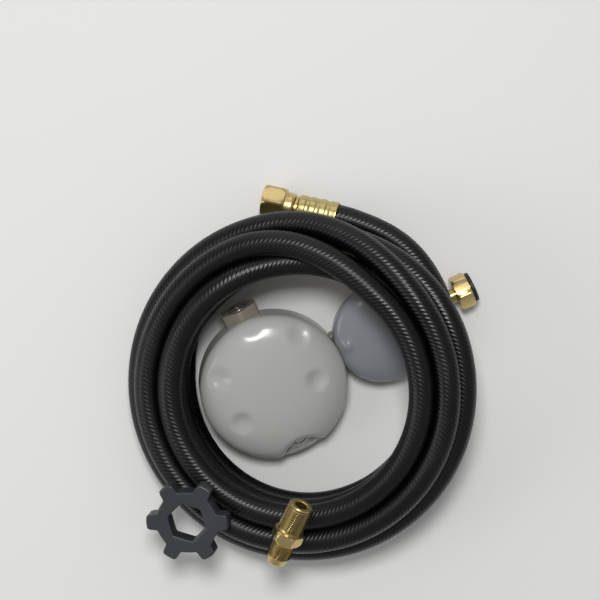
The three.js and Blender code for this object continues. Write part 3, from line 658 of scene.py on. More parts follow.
@dataclass(frozen=True)
class Finish:
    """A surface finish: its plain values and how strongly its effects show."""

    name: str
    colour: Place
    roughness: float
    metallic: float = 0.0
    grain: float = 0.0
    fine: float = 900.0
    broad: float = 30.0
    mottle: float = 0.06
    # Lighter outward edges: rubbed wear, and on the wheel painted highlights.
    wear_and_highlight: float = 0.0
    wear_highlight_colour: Place = (0.6, 0.6, 0.6)
    rings: float = 0.0
    sheen: float = 0.0
    subsurface: float = 0.0
    subsurface_radius: Place = (0.004, 0.004, 0.0035)
    specular: float = 0.5
    # Painted shade: how much hollows and thread grooves are darkened, and how dark.
    painted_shade: float = 0.0
    shade_share: float = 0.38
    rough_swing: float = 0.18

    def material(self) -> bpy.types.Material:
        """Finds this finish as a material, made the first time it is asked for.

        Returns:
            The material.
        """
        if self.name in MADE:
            return MADE[self.name]
        material = MADE[self.name] = bpy.data.materials.new(self.name)
        material.use_nodes = True
        graph = Graph(material.node_tree)
        shader = next(n for n in graph.tree.nodes if n.type == "BSDF_PRINCIPLED")
        place = graph.add("TexCoord", {})
        grain = MOULDED_GRAIN.use(graph, {"Vector": place["Object"], "Fine": self.fine, "Broad": self.broad})
        height = TURNING_MARKS.use(graph, {"Vector": place["UV"]}) if self.rings else grain
        rough = graph.add("MapRange", {
            "Value": grain["Broad"], "From Min": 0.3, "From Max": 0.7,
            "To Min": self.roughness * (1 - self.rough_swing),
            "To Max": min(1.0, self.roughness * (1 + self.rough_swing))})
        relief = graph.add("Bump", {"Strength": 1.0, "Distance": max(self.grain, self.rings) * MM,
                                    "Height": height["Height"]})
        colour = self.mottled(graph, place, grain["Broad"])
        if self.wear_and_highlight:
            colour = self.worn_and_lit_edges(graph, place, colour)
        # Painted shade in hollows and thread grooves.
        if self.painted_shade:
            colour = self.shaded_hollows(graph, colour)
        for key, value in {
            "Base Color": colour, "Roughness": rough["Result"], "Normal": relief["Normal"],
            "Metallic": self.metallic, "Specular IOR Level": self.specular, "Sheen Weight": self.sheen,
            "Subsurface Weight": self.subsurface, "Subsurface Radius": self.subsurface_radius,
        }.items():
            graph.feed(shader.inputs[key], value)
        return material

    def mottled(self, graph: Graph, place: Sockets, broad: Socket) -> Socket:
        """Returns the colour with its broad variation.

        Args:
            graph: The material's graph.
            place: Texture coordinates; not used.
            broad: Broad noise.

        Returns:
            The colour.
        """
        dark, light = (
            (*(min(1.0, c * (1 + swing)) for c in self.colour), 1) for swing in (-self.mottle, self.mottle))
        return graph.mix(broad, dark, light)

    def worn_and_lit_edges(self, graph: Graph, place: Sockets, colour: Socket) -> Socket:
        """Returns a colour with rubbed edges and painted edge highlights over it.

        Args:
            graph: The material's graph.
            place: Texture coordinates.
            colour: The colour underneath.

        Returns:
            The colour.
        """
        wear_and_highlight = EDGE_WEAR_AND_HIGHLIGHT.use(graph, {"Vector": place["Object"]})["WearAndHighlight"]
        return graph.mix(graph.calc("MULTIPLY", wear_and_highlight, self.wear_and_highlight), colour, (*self.wear_highlight_colour, 1))

    def shaded_hollows(self, graph: Graph, colour: Socket) -> Socket:
        """Returns a colour with painted shade in hollows and in the grooves of threads.

        Args:
            graph: The material's graph.
            colour: The colour underneath.

        Returns:
            The colour.
        """
        # Painted shade: hollows and thread grooves are darkened towards a dark copy of the colour.
        hollow = graph.calc("MULTIPLY", CREVICE_SHADE.use(graph, {})["PaintedShade"], self.painted_shade)
        groove = graph.add("Attribute", {}, attribute_name="groove")["Fac"]
        dark = (*(c * self.shade_share for c in self.colour), 1)
        return graph.mix(graph.calc("MAXIMUM", groove, hollow), colour, dark)


@dataclass(frozen=True)
class HoseRubber(Finish):
    """Black rubber hose with a breath of dust, and painted shade between its ribs."""

    # Painted shade: the colour laid in the valleys between the ribs.
    valley_shade_colour: Place = (0.001, 0.001, 0.001)
    dust_colour: Place = (0.014, 0.014, 0.0145)

    def mottled(self, graph: Graph, place: Sockets, broad: Socket) -> Socket:
        """Colours the rubber, with its dust and painted shade in its valleys.

        Args:
            graph: The material's graph.
            place: Texture coordinates.
            broad: Broad noise.

        Returns:
            The colour.
        """
        dust = graph.add("MapRange", {"Value": broad, "From Min": 0.55, "From Max": 0.85, "To Max": 0.6})
        dusty = graph.mix(dust["Result"], (*self.colour, 1), (*self.dust_colour, 1))
        # Painted shade darkens the valleys between the ribs.
        valley_shade = WOUND_RIBS.use(graph, {"Vector": place["UV"]})["Valley"]
        return graph.mix(valley_shade, dusty, (*self.valley_shade_colour, 1))


RUBBER = HoseRubber("ribbed_hose_rubber", (0.003, 0.003, 0.0036), 0.34,
                    grain=0.008, fine=2500, broad=22, specular=0.36)
COVER_PLASTIC = Finish("pale_moulding", (0.435, 0.433, 0.412), 0.2,
                       grain=0.006, fine=1400, broad=14, mottle=0.03, subsurface=0.08)
# Painted shade: a darker, bluish copy of the pale cover plastic, for the small cover.
SHADED_COVER_PLASTIC = Finish("pale_moulding_painted_shade", (0.235, 0.245, 0.27), 0.17,
                             grain=0.006, fine=1400, broad=14, mottle=0.04, subsurface=0.05)
# The casting, brass, zinc and wheel finishes darken hollows and thread grooves as painted shade.
CAST_PAINT = Finish("cast_paint", (0.24, 0.21, 0.165), 0.42,
                    grain=0.05, fine=700, broad=45, mottle=0.08, wear_and_highlight=0.35,
                    wear_highlight_colour=(0.45, 0.42, 0.36), painted_shade=0.5)
BRASS = Finish("turned_brass", (0.66, 0.51, 0.23), 0.29, 1.0, rings=0.012, mottle=0.07, broad=60, painted_shade=0.85)
BRASS_SLEEVE = Finish("pressed_brass", (0.56, 0.47, 0.2), 0.32, 1.0,
                      grain=0.01, fine=600, mottle=0.08, broad=70, painted_shade=0.8)
BRIGHT_ZINC = Finish("bright_zinc", (0.55, 0.56, 0.54), 0.28, 0.9,
                     grain=0.03, fine=500, mottle=0.12, broad=90, painted_shade=0.7)
ROUGH_ZINC = Finish("rough_zinc", (0.50, 0.51, 0.48), 0.3, 0.7, grain=0.5, fine=420, mottle=0.3, broad=520)
STEEL = Finish("plated_steel", (0.58, 0.585, 0.6), 0.24, 1.0, grain=0.006, fine=1200, mottle=0.06)
SPRING_WIRE = Finish("spring_wire", (0.42, 0.42, 0.43), 0.3, 1.0, grain=0.006, fine=1500, mottle=0.08)
# Painted highlight: the wheel's lighter edges stand in for light caught on its rounded edges.
WHEEL_PLASTIC = Finish("black_moulding", (0.036, 0.038, 0.046), 0.36,
                       grain=0.03, fine=1300, broad=25, mottle=0.12, wear_and_highlight=0.8, wear_highlight_colour=(0.13, 0.13, 0.14),
                       painted_shade=0.4)
SEAL_RUBBER = Finish("nitrile_seal", (0.012, 0.012, 0.013), 0.55, grain=0.02, fine=1500, mottle=0.15)
CLOTH_RUBBER = Finish("cloth_rubber", (0.10, 0.065, 0.045), 0.75,
                      grain=0.06, fine=2200, mottle=0.15, sheen=0.2)
PLUG_PLASTIC = Finish("plug_moulding", (0.02, 0.02, 0.022), 0.45, grain=0.03, fine=1200, mottle=0.1)

INSIDE: dict[Finish, tuple[str, ...]] = {
    CLOTH_RUBBER: ("second_stage_diaphragm", "first_stage_diaphragm"),
    STEEL: ("diaphragm_plate", "first_stage_plate", "lever", "lever_pin", "first_stage_pin", "vent_screen",
            "screw"),
    SPRING_WIRE: ("relief_spring", "poppet_spring"),
    BRASS_SLEEVE: ("relief_retainer", "valve_stem", "orifice_seat", "poppet_plug", "inlet_filter"),
    SEAL_RUBBER: ("valve_disc", "first_stage_poppet", "vent_flap", "hose_end"),
    PLUG_PLASTIC: ("adjusting_plug",),
}


def dress(piece: bpy.types.Object, finish: Finish) -> None:
    """Gives a piece one finish all over.

    Args:
        piece: The object.
        finish: The finish.
    """
    slots = piece.data.materials
    if not slots:
        slots.append(finish.material())
    for i in range(len(slots)):
        slots[i] = finish.material()


def settle(piece: bpy.types.Object, body: str, finish: Finish, slot: str, *nodes: str) -> None:
    """Dresses a new piece, lets it ride on a body and hides the CAD nodes that it replaces.

    Args:
        piece: The new piece.
        body: The body it moves with.
        finish: Its finish.
        slot: The record's material slot; not used.
        nodes: CAD nodes that it replaces.
    """
    dress(piece, finish)
    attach(piece, body)
    if nodes:
        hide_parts(*nodes)
    LOG.info("%s rides on %s with %d faces", piece.name, body, len(piece.data.polygons))


# ---- Camera, floor and light -----------------------------------------------------------------


@dataclass
class Studio:
    """The camera straight above, a pale floor and soft light. Metres and watts."""

    height: float = 1.2
    lens: float = 104.2
    sensor: float = 36.0
    clip: tuple[float, float] = (0.05, 20.0)
    aim: tuple[float, float] = (-0.0108, 0.0777)
    lit: Place = (0.0, 0.0, 0.03)
    floor_half: float = 4.0
    floor_drop: float = 0.0002
    floor_colour: Place = (0.80, 0.80, 0.79)
    world_strength: float = 0.32

    def camera(self) -> None:
        """Adds the camera, looking straight down."""
        data = bpy.data.cameras.new("view_from_above")
        data.lens = self.lens
        data.sensor_width = self.sensor
        data.clip_start, data.clip_end = self.clip
        camera = bpy.data.objects.new("view_from_above", data)
        camera.location = (*self.aim, self.height)
        bpy.context.scene.collection.objects.link(camera)
        bpy.context.scene.camera = camera

    def floor(self) -> None:
        """Adds the pale floor."""
        half = self.floor_half
        points = [(-half, -half, 0), (half, -half, 0), (half, half, 0), (-half, half, 0)]
        floor = make_object("floor", points, [(0, 1, 2, 3)], Matrix.Identity(4))
        floor.location.z = -self.floor_drop
        material = bpy.data.materials.new("pale_floor")
        material.use_nodes = True
        shader = next(n for n in material.node_tree.nodes if n.type == "BSDF_PRINCIPLED")
        shader.inputs["Base Color"].default_value = (*self.floor_colour, 1)
        shader.inputs["Roughness"].default_value = 0.9
        shader.inputs["Specular IOR Level"].default_value = 0.2
        floor.data.materials.append(material)

    def world(self) -> None:
        """Adds an even white world."""
        world = bpy.data.worlds.new("soft_room")
        world.use_nodes = True
        back = next(n for n in world.node_tree.nodes if n.type == "BACKGROUND")
        back.inputs["Color"].default_value = (1.0, 1.0, 1.0, 1)
        back.inputs["Strength"].default_value = self.world_strength
        bpy.context.scene.world = world

    def lamp(self, name: str, place: Place, size: tuple[float, float], power: float) -> None:
        """Args:
            name: Its name.
            place: Where it hangs.
            size: Width and height.
            power: Its power.
        """
        data = bpy.data.lights.new(name, "AREA")
        data.shape = "RECTANGLE"
        data.size, data.size_y = size
        data.energy = power
        lamp = bpy.data.objects.new(name, data)
        lamp.location = place
        lamp.rotation_euler = (Vector(self.lit) - Vector(place)).to_track_quat("-Z", "Y").to_euler()
        bpy.context.scene.collection.objects.link(lamp)

    def build(self) -> None:
        """Sets up the whole studio."""
        self.camera()
        self.floor()
        self.world()
        self.lamp("window_box", (-0.06, 0.42, 1.5), (0.34, 0.34), 12.5)
        self.lamp("back_card", (-0.2, 1.7, 0.75), (1.6, 0.8), 3.6)
        self.lamp("side_card", (-1.5, -0.2, 0.9), (0.8, 1.0), 5.0)
        bpy.context.scene.view_settings.view_transform = "Standard"


# ---- Hose ------------------------------------------------------------------------------------


@dataclass
class Hose:
    """Twelve feet of hose wound in a coil of three outer and three inner strands.

    strands gives each turn's place in diameters out and up, steps_up the azimuths over which the
    hose passes from one to the next. rise_in is (azimuth, radius, height) in the coil's frame,
    and the tails are (x, y, z) from the coil's middle in plan and from the floor in height.
    """

    diameter: float = 17.0
    inner_radius: float = 75.9
    strands: tuple[tuple[float, float], ...] = (
        (1.51, 0.5), (1.95, 1.5), (1.43, 2.48), (0.46, 2.72), (0.465, 1.6), (0.5, 0.5))
    steps_up: tuple[tuple[float, float], ...] = ((86, 18), (100, 32), (114, 46), (136, 68), (158, 90))
    leave: float = 184.0
    turn_step: float = 5.0
    tilt: float = 11.7136
    uphill: float = 30.0
    coil_from_corner: Place = (118.6827, 117.9995, 20.7176)
    tail_a: tuple[Place, ...] = ((34, 108.4, 21.2), (40, 106.3, 22.2), (45.5, 103.9, 23.2))
    tail_b: tuple[Place, ...] = ((-24, 93.6, 8.7), (-29, 93, 8.6), (-34.5, 92, 8.6))
    rise_in: tuple[Place, ...] = (
        (56, 112.9, -15), (46, 110.6, -11.3), (36, 107.6, -6.0),
        (26, 104.6, -0.2), (16, 102.4, 4.9), (7, 101.6, 7.8))
    sleeve_end: float = 52.0
    lead: float = 5.0
    drop_share: float = 0.55
    spacing: float = 3.0
    eased: tuple[int, int] = (110, 120)
    eased_fade: int = 20
    clamped: tuple[int, float] = (4, 0.3)
    starts: int = 13
    pitch: float = 2.9
    rib_height: float = 0.22
    rib: tuple[float, ...] = (0.0, 0.72, 1.0, 0.72)

    def coil_frame(self) -> Matrix:
        """Finds the coil's frame: its origin at the middle of its underside.

        Returns:
            The frame.
        """
        low = Vector(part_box("hose_coil")[0])
        heading = math.radians(self.uphill)
        axis = Vector((math.sin(heading), -math.cos(heading), 0))
        turn = Matrix.Rotation(math.radians(self.tilt), 3, axis)
        return place_frame(low + Vector(self.coil_from_corner) * MM, *(turn.col[i] for i in range(3)))

    def in_coil(self, azimuth: float, radius: float, height: float) -> Vector:
        """Returns a point of the coil's frame in row millimetres."""
        angle = math.radians(azimuth)
        return (self.coil_frame() @ Vector((radius * math.cos(angle), radius * math.sin(angle), height))) / MM

    def on_floor(self, point: Place) -> Vector:
        """Returns a point given from the coil's middle in plan and from the floor in height."""
        origin = self.coil_frame().translation / MM
        return Vector((origin.x + point[0], origin.y + point[1], point[2]))

    @staticmethod
    def ease(share: float) -> float:
        """Returns a smooth step from 0 to 1."""
        return 0.5 - 0.5 * math.cos(math.pi * min(1.0, max(0.0, share)))

    def turns(self) -> list[Vector]:
        """Winds the turns, from the first slot to the last.

        Returns:
            The points in row millimetres.
        """
        slots = [(self.inner_radius + out * self.diameter, up * self.diameter) for out, up in self.strands]
        total = len(slots) * 360 - self.leave
        count = int(total / self.turn_step) + 1
        points = []
        for i in range(count + 1):
            azimuth = -total * i / count
            radius, height = slots[0]
            for k, (first, last) in enumerate(self.steps_up):
                share = self.ease((first - 360 * (k + 1) - azimuth) / (first - last))
                radius += (slots[k + 1][0] - slots[k][0]) * share
                height += (slots[k + 1][1] - slots[k][1]) * share
            points.append(self.in_coil(azimuth, radius, height))
        return points

    def way_out(self, start: Vector, heading: Vector, count: int = 14) -> list[Vector]:
        """Returns the points from the last slot down to the floor and under the coil's edge.

        Args:
            start: The last point of the turns.
            heading: The direction there.
            count: Number of steps.

        Returns:
            The points after the start.
        """
        end = self.on_floor(self.tail_b[2])
        end_heading = (self.on_floor(self.tail_b[1]) - end).normalized()
        reach = (end - start).length
        points = []
        for i in range(1, count + 1):
            s = i / count
            point = (start * (2 * s**3 - 3 * s * s + 1) + heading * reach * (s**3 - 2 * s * s + s)
                     + end * (3 * s * s - 2 * s**3) + end_heading * reach * (s**3 - s * s))
            point.z = end.z + (start.z - end.z) * (1 - self.ease(s / self.drop_share))
            points.append(point)
        return points

    def corners(self, end_a: Matrix, end_b: Matrix) -> list[Vector]:
        """Returns the rough route from one fitting to the other.

        Args:
            end_a: Frame of the visible fitting.
            end_b: Frame of the hidden fitting.

        Returns:
            Points in row millimetres.
        """
        leads = [[(end @ Vector((self.sleeve_end + along, 0, 0))) / MM for along in (GAP, self.lead)]
                 for end in (end_a, end_b)]
        turns = self.turns()
        return [
            *leads[0], *(self.on_floor(p) for p in self.tail_a),
            *(self.in_coil(*p) for p in self.rise_in), *turns,
            *self.way_out(turns[-1], (turns[-1] - turns[-2]).normalized()),
            self.on_floor(self.tail_b[1]), self.on_floor(self.tail_b[0]), *reversed(leads[1]),
        ]

    def even(self, corners: list[Vector]) -> list[Vector]:
        """Runs a smooth curve through the corners and spaces its points evenly.

        Args:
            corners: The rough route.

        Returns:
            Evenly spaced points in row millimetres.
        """
        dense: list[Vector] = []
        for i in range(len(corners) - 1):
            a, b = corners[max(i - 1, 0)], corners[i]
            c, d = corners[i + 1], corners[min(i + 2, len(corners) - 1)]
            for k in range(8):
                s = k / 8
                dense.append(0.5 * (2 * b + (c - a) * s + (2 * a - 5 * b + 4 * c - d) * s * s
                                    + (3 * b - a - 3 * c + d) * s**3))
        dense.append(corners[-1])
        lengths = [0.0]
        for a, b in zip(dense, dense[1:]):
            lengths.append(lengths[-1] + (b - a).length)
        count = round(lengths[-1] / self.spacing)
        points, j = [], 0
        for i in range(count + 1):
            want = lengths[-1] * i / count
            while j < len(dense) - 2 and lengths[j + 1] < want:
                j += 1
            share = (want - lengths[j]) / max(1e-9, lengths[j + 1] - lengths[j])
            points.append(dense[j].lerp(dense[j + 1], share))
        return points

    def relax(self, points: list[Vector], passes: int = 40) -> list[Vector]:
        """Eases the bends of the two tails, as a stiff hose does, and keeps the hose on the floor.

        Args:
            points: Evenly spaced points.
            passes: Number of smoothing passes.

        Returns:
            The eased points in metres.
        """
        count, (held, slack) = len(points), self.clamped
        give = [0.0] * count
        for i in range(1, count - 1):
            from_end = count - 1 - i
            near = max((self.eased[0] - i) / self.eased_fade, (self.eased[1] - from_end) / self.eased_fade)
            give[i] = min(1.0, max(0.0, near)) * (slack if min(i, from_end) < held else 1.0)
        for _ in range(passes):
            points = [
                p if not give[i] else p.lerp((points[i - 1] + 2 * p + points[i + 1]) / 4, give[i])
                for i, p in enumerate(points)
            ]
        for p in points:
            p.z = max(p.z, self.diameter / 2)
        return [p * MM for p in points]

    def tube(self, path: list[Vector]) -> bpy.types.Object:
        """Builds the hose along its path, its ribs wound round it, with a UV in metres.

        Args:
            path: Points in metres.

        Returns:
            The hose.
        """
        line = [p for a, b in zip(path, path[1:]) for p in (a, a.lerp(b, 0.5))] + [path[-1]]
        count, sides = len(line), self.starts * len(self.rib)
        side = (line[2] - line[0]).orthogonal()
        points, along = [], [0.0]
        for i, point in enumerate(line):
            forward = (line[min(i + 2, count - 1)] - line[max(i - 2, 0)]).normalized()
            side = (side - forward * side.dot(forward)).normalized()
            up = forward.cross(side)
            if i:
                along.append(along[-1] + (point - line[i - 1]).length)
            wound = -2 * math.pi * along[i] / MM / (self.starts * self.pitch)
            for c, angle in enumerate(round_angles(sides)):
                radius = (self.diameter / 2 - self.rib_height * (1 - self.rib[c % len(self.rib)])) * MM
                angle += wound
                points.append(point + radius * (side * math.cos(angle) + up * math.sin(angle)))
        piece = make_object("hose", points, tube_faces(count, sides, False), Matrix.Identity(4))
        girth = math.pi * self.diameter * MM
        values = [
            value for i in range(count - 1) for c in range(sides)
            for column, row in ((c, i), (c + 1, i), (c + 1, i + 1), (c, i + 1))
            for value in (along[row], girth * column / sides)
        ]
        values += [0.0] * (4 * sides)
        piece.data.uv_layers.new(name="UVMap").data.foreach_set("uv", values)
        smooth_shade(piece, 50)
        return piece

    def build(self, end_a: Matrix, end_b: Matrix, fittings: Sequence[bpy.types.Object]) -> None:
        """Args:
            end_a: Frame of the visible fitting.
            end_b: Frame of the hidden fitting.
            fittings: The pieces on the hose's ends; not used.
        """
        path = self.relax(self.even(self.corners(end_a, end_b)))
        piece = self.tube(path)
        settle(piece, "hose", RUBBER, "hose_rubber", "hose_coil", "hose_tail_a", "hose_tail_b")


@dataclass
class HoseEnd:
    """A swivel nut, its cone and the pressed sleeve that holds the hose."""

    letter: str
    turn: float
    across_flats: float = 22.2
    chamfer: float = 1.4
    nut_length: float = 15.4
    neck_length: float = 6.7
    neck_radius: float = 9.6
    mouth: float = 7.6
    mouth_depth: float = 13.4
    sleeve_start: float = 25.0
    sleeve_end: float = 52.0
    sleeve_radius: float = 9.75
    bands: int = 3
    band_spacing: float = 7.0

    def at(self) -> Matrix:
        """Returns this end's frame."""
        return hose_end_frame(f"hose_end_{self.letter}_face")

    def nut(self) -> bpy.types.Object:
        """Builds the swivel nut, with a threaded mouth and a rounded neck.

        Returns:
            The nut.
        """
        corner, face = self.across_flats * HEX_CORNER, self.across_flats * 0.5
        mouth, depth, length, neck = self.mouth, self.mouth_depth, self.nut_length, self.neck_radius
        end = length + self.neck_length
        rings = [
            *reversed(thread_rings(mouth + 0.35, mouth + 0.35, 0.9, depth - 1.5)),
            (mouth + 0.7, 0.25), (mouth + 1.0, 0.0), (face - 0.4, 0.0), (face + 0.3, 0.35, Form.HEX),
            (corner, self.chamfer, Form.HEX), (corner, 4.5, Form.HEX), (corner, length - 4.5, Form.HEX),
            (corner, length - self.chamfer, Form.HEX), (face + 0.2, length - 0.2, Form.HEX),
            (neck + 0.5, length), (neck, length + 0.5), (neck, end - 1.9),
            *arc_rings((neck - 1.9, end - 1.9), 1.9, 8, 90), (5.8, end), (5.6, end - 0.3),
            (5.6, depth), (mouth, depth), (mouth, depth - 1.0),
        ]
        return Turned(f"flare_nut_{self.letter}", rings, self.at(), turn=self.turn,
                      across_flats=self.across_flats).build()

    def cone(self) -> bpy.types.Object:
        """Builds the stem with its flare cone, collar and barb.

        Returns:
            The stem.
        """
        flange, barb = self.mouth_depth - 0.4, self.sleeve_end - 4.0
        start, end = self.nut_length + self.neck_length + 0.4, self.sleeve_start - GAP
        rings = [
            (3.2, 8.3), (3.5, 8.0), (3.9, 8.0), (4.2, 8.2), (7.0, 11.0), (7.2, 11.3), (7.2, flange),
            (5.2, flange), (5.2, start), (7.6, start), (8.0, start + 0.4), (8.0, end - 0.4),
            (7.6, end), (4.45, end),
            (4.45, barb - 0.2), (4.1, barb), (3.2, barb),
        ]
        return Turned(f"flare_stem_{self.letter}", rings, self.at(), sides=96).build()

    def sleeve(self) -> bpy.types.Object:
        """Builds the pressed sleeve with its crimped bands and rolled end.

        Returns:
            The sleeve.
        """
        radius, start, end = self.sleeve_radius, self.sleeve_start, self.sleeve_end
        rings = [(4.75, start), (radius - 1.2, start), *arc_rings((radius - 1.2, start + 1.2), 1.2, -80, 0)]
        for band in range(self.bands):
            at = start + 5 + self.band_spacing * band
            rings += [(radius, at - 0.4), (radius - 0.38, at + 0.2), (radius - 0.5, at + 0.7),
                      (radius - 0.5, at + 2.3), (radius - 0.38, at + 2.8), (radius, at + 3.4)]
        rings += [(radius, end - 1.6), (radius + 0.15, end - 0.8), (radius, end - 0.2), (radius - 0.3, end),
                  (8.9, end), (8.8, end - 0.2), (8.8, start + 1.2), (4.75, start + 1.2)]
        return Turned(f"crimp_sleeve_{self.letter}", rings, self.at(), sides=96).build()

    def build(self) -> list[bpy.types.Object]:
        """Builds and dresses the whole end.

        Returns:
            Its pieces.
        """
        nut, cone, sleeve = self.nut(), self.cone(), self.sleeve()
        settle(nut, f"nut_{self.letter}", BRASS, "brass", f"swivel_nut_{self.letter}")
        settle(cone, "hose", BRASS, "brass", f"hose_stem_{self.letter}")
        settle(sleeve, "hose", BRASS_SLEEVE, "brass", f"ferrule_{self.letter}")
        return [nut, cone, sleeve, frame["nodes"][f"hose_end_{self.letter}"]]


# ---- Loose pieces ----------------------------------------------------------------------------


@dataclass
class FlareAdapter:
    """The half union: flare cone and thread, hexagon, tapered pipe thread."""

    across_flats: float = 19.0
    flare_length: float = 19.0
    hex_length: float = 7.6
    pipe_length: float = 20.4
    bore: float = 4.2

    def build(self) -> None:
        """Builds and dresses the adapter."""
        corner, face, bore = self.across_flats * HEX_CORNER, self.across_flats * 0.5, self.bore
        start = self.flare_length
        middle = start + self.hex_length
        end = middle + self.pipe_length
        rings = [
            (bore, 0.3), (bore + 0.3, 0.0), (5.1, 0.0), (5.4, 0.2), (6.75, 1.8), (6.9, 2.1), (6.9, 5.4),
            (7.1, 5.8),
            *thread_rings(7.9, 7.9, 6.3, start - 2.6), (7.0, start - 2.2), (7.0, start - 0.3), (7.4, start),
            (face - 0.3, start), (face + 0.2, start + 0.25, Form.HEX), (corner, start + 1.3, Form.HEX),
            (corner, middle - 1.3, Form.HEX), (face + 0.2, middle - 0.25, Form.HEX), (face - 0.3, middle),
            (8.3, middle), (8.0, middle + 0.3), (8.0, middle + 1.2),
            *thread_rings(8.65, 8.15, middle + 1.7, end - 1.2), (7.3, end - 0.5), (6.9, end),
            (bore + 0.4, end), (bore, end - 0.4),
        ]
        piece = Turned("half_union", rings, adapter_frame(), across_flats=self.across_flats).build()
        settle(piece, "adapter", BRASS, "brass", "flare_adapter")


@dataclass
class Handwheel:
    """The star wheel with six lobes, a hexagonal hole and rounded edges."""

    rim: float = 27.5
    root: float = 20.6
    lobe_half: float = 12.4
    lobe_steepness: float = 0.85
    root_crown: float = 0.25
    hole_across_flats: float = 23.0
    hole_turn: float = 43.0
    hole_chamfer: float = 0.6
    thickness: float = 12.0
    edge: float = 1.1
    sides: int = 480

    def star(self, angle: float, inset: float) -> float:
        """Returns the star's radius, taken in by an inset.

        Args:
            angle: Angle from a lobe, in radians.
            inset: How far the outline is taken in.

        Returns:
            The radius in millimetres.
        """
        from_lobe = abs(math.degrees((angle + math.pi / 6) % (math.pi / 3) - math.pi / 6))
        tip = 1 / (1 + math.exp((from_lobe - self.lobe_half) * self.lobe_steepness))
        rise = self.root + (self.rim - self.root) * tip
        crown = self.root_crown * math.cos(math.radians(from_lobe * 3)) * (1 - tip)
        return rise - inset * (1 + 0.12 * tip) + crown

    def hole(self, angle: float, inset: float) -> float:
        """Returns the hexagonal hole's radius at an angle in radians, widened by an inset."""
        return hex_radius(self.hole_across_flats, angle - math.radians(self.hole_turn), 0.2) + inset

    def face(self, angle: float, share: float) -> float:
        """Returns a radius on the flat face, from 0 at the hole to 1 at the star's edge."""
        return self.hole(angle, self.hole_chamfer) * (1 - share) + self.star(angle, self.edge) * share

    def build(self) -> None:
        """Builds and dresses the wheel."""
        half, edge = self.thickness / 2, self.edge
        bends = [math.radians(a) for a in (0, 22, 45, 68, 90)]
        shares = (0.15, 0.4, 0.7, 0.9)
        rows = [
            (self.hole, self.hole_chamfer, -half), *((self.face, share, -half) for share in shares),
            *((self.star, edge * (1 - math.sin(a)), -half + edge * (1 - math.cos(a))) for a in bends),
            *((self.star, edge * (1 - math.cos(a)), half - edge * (1 - math.sin(a))) for a in bends),
            *((self.face, share, half) for share in reversed(shares)), (self.hole, self.hole_chamfer, half),
            (self.hole, 0.15, half - 0.25), (self.hole, 0.0, half - 0.7),
            (self.hole, 0.0, -half + 0.7), (self.hole, 0.15, -half + 0.25),
        ]
        points = [Axis.Z.point(outline(a, value), a, height)
                  for outline, value, height in rows for a in round_angles(self.sides)]
        piece = make_object("star_wheel", points, tube_faces(len(rows), self.sides, True), wheel_frame())
        clean(piece)
        smooth_shade(piece, 40)
        settle(piece, "wheel", WHEEL_PLASTIC, "wheel_plastic", "handwheel")


# ---- Regulator -------------------------------------------------------------------------------


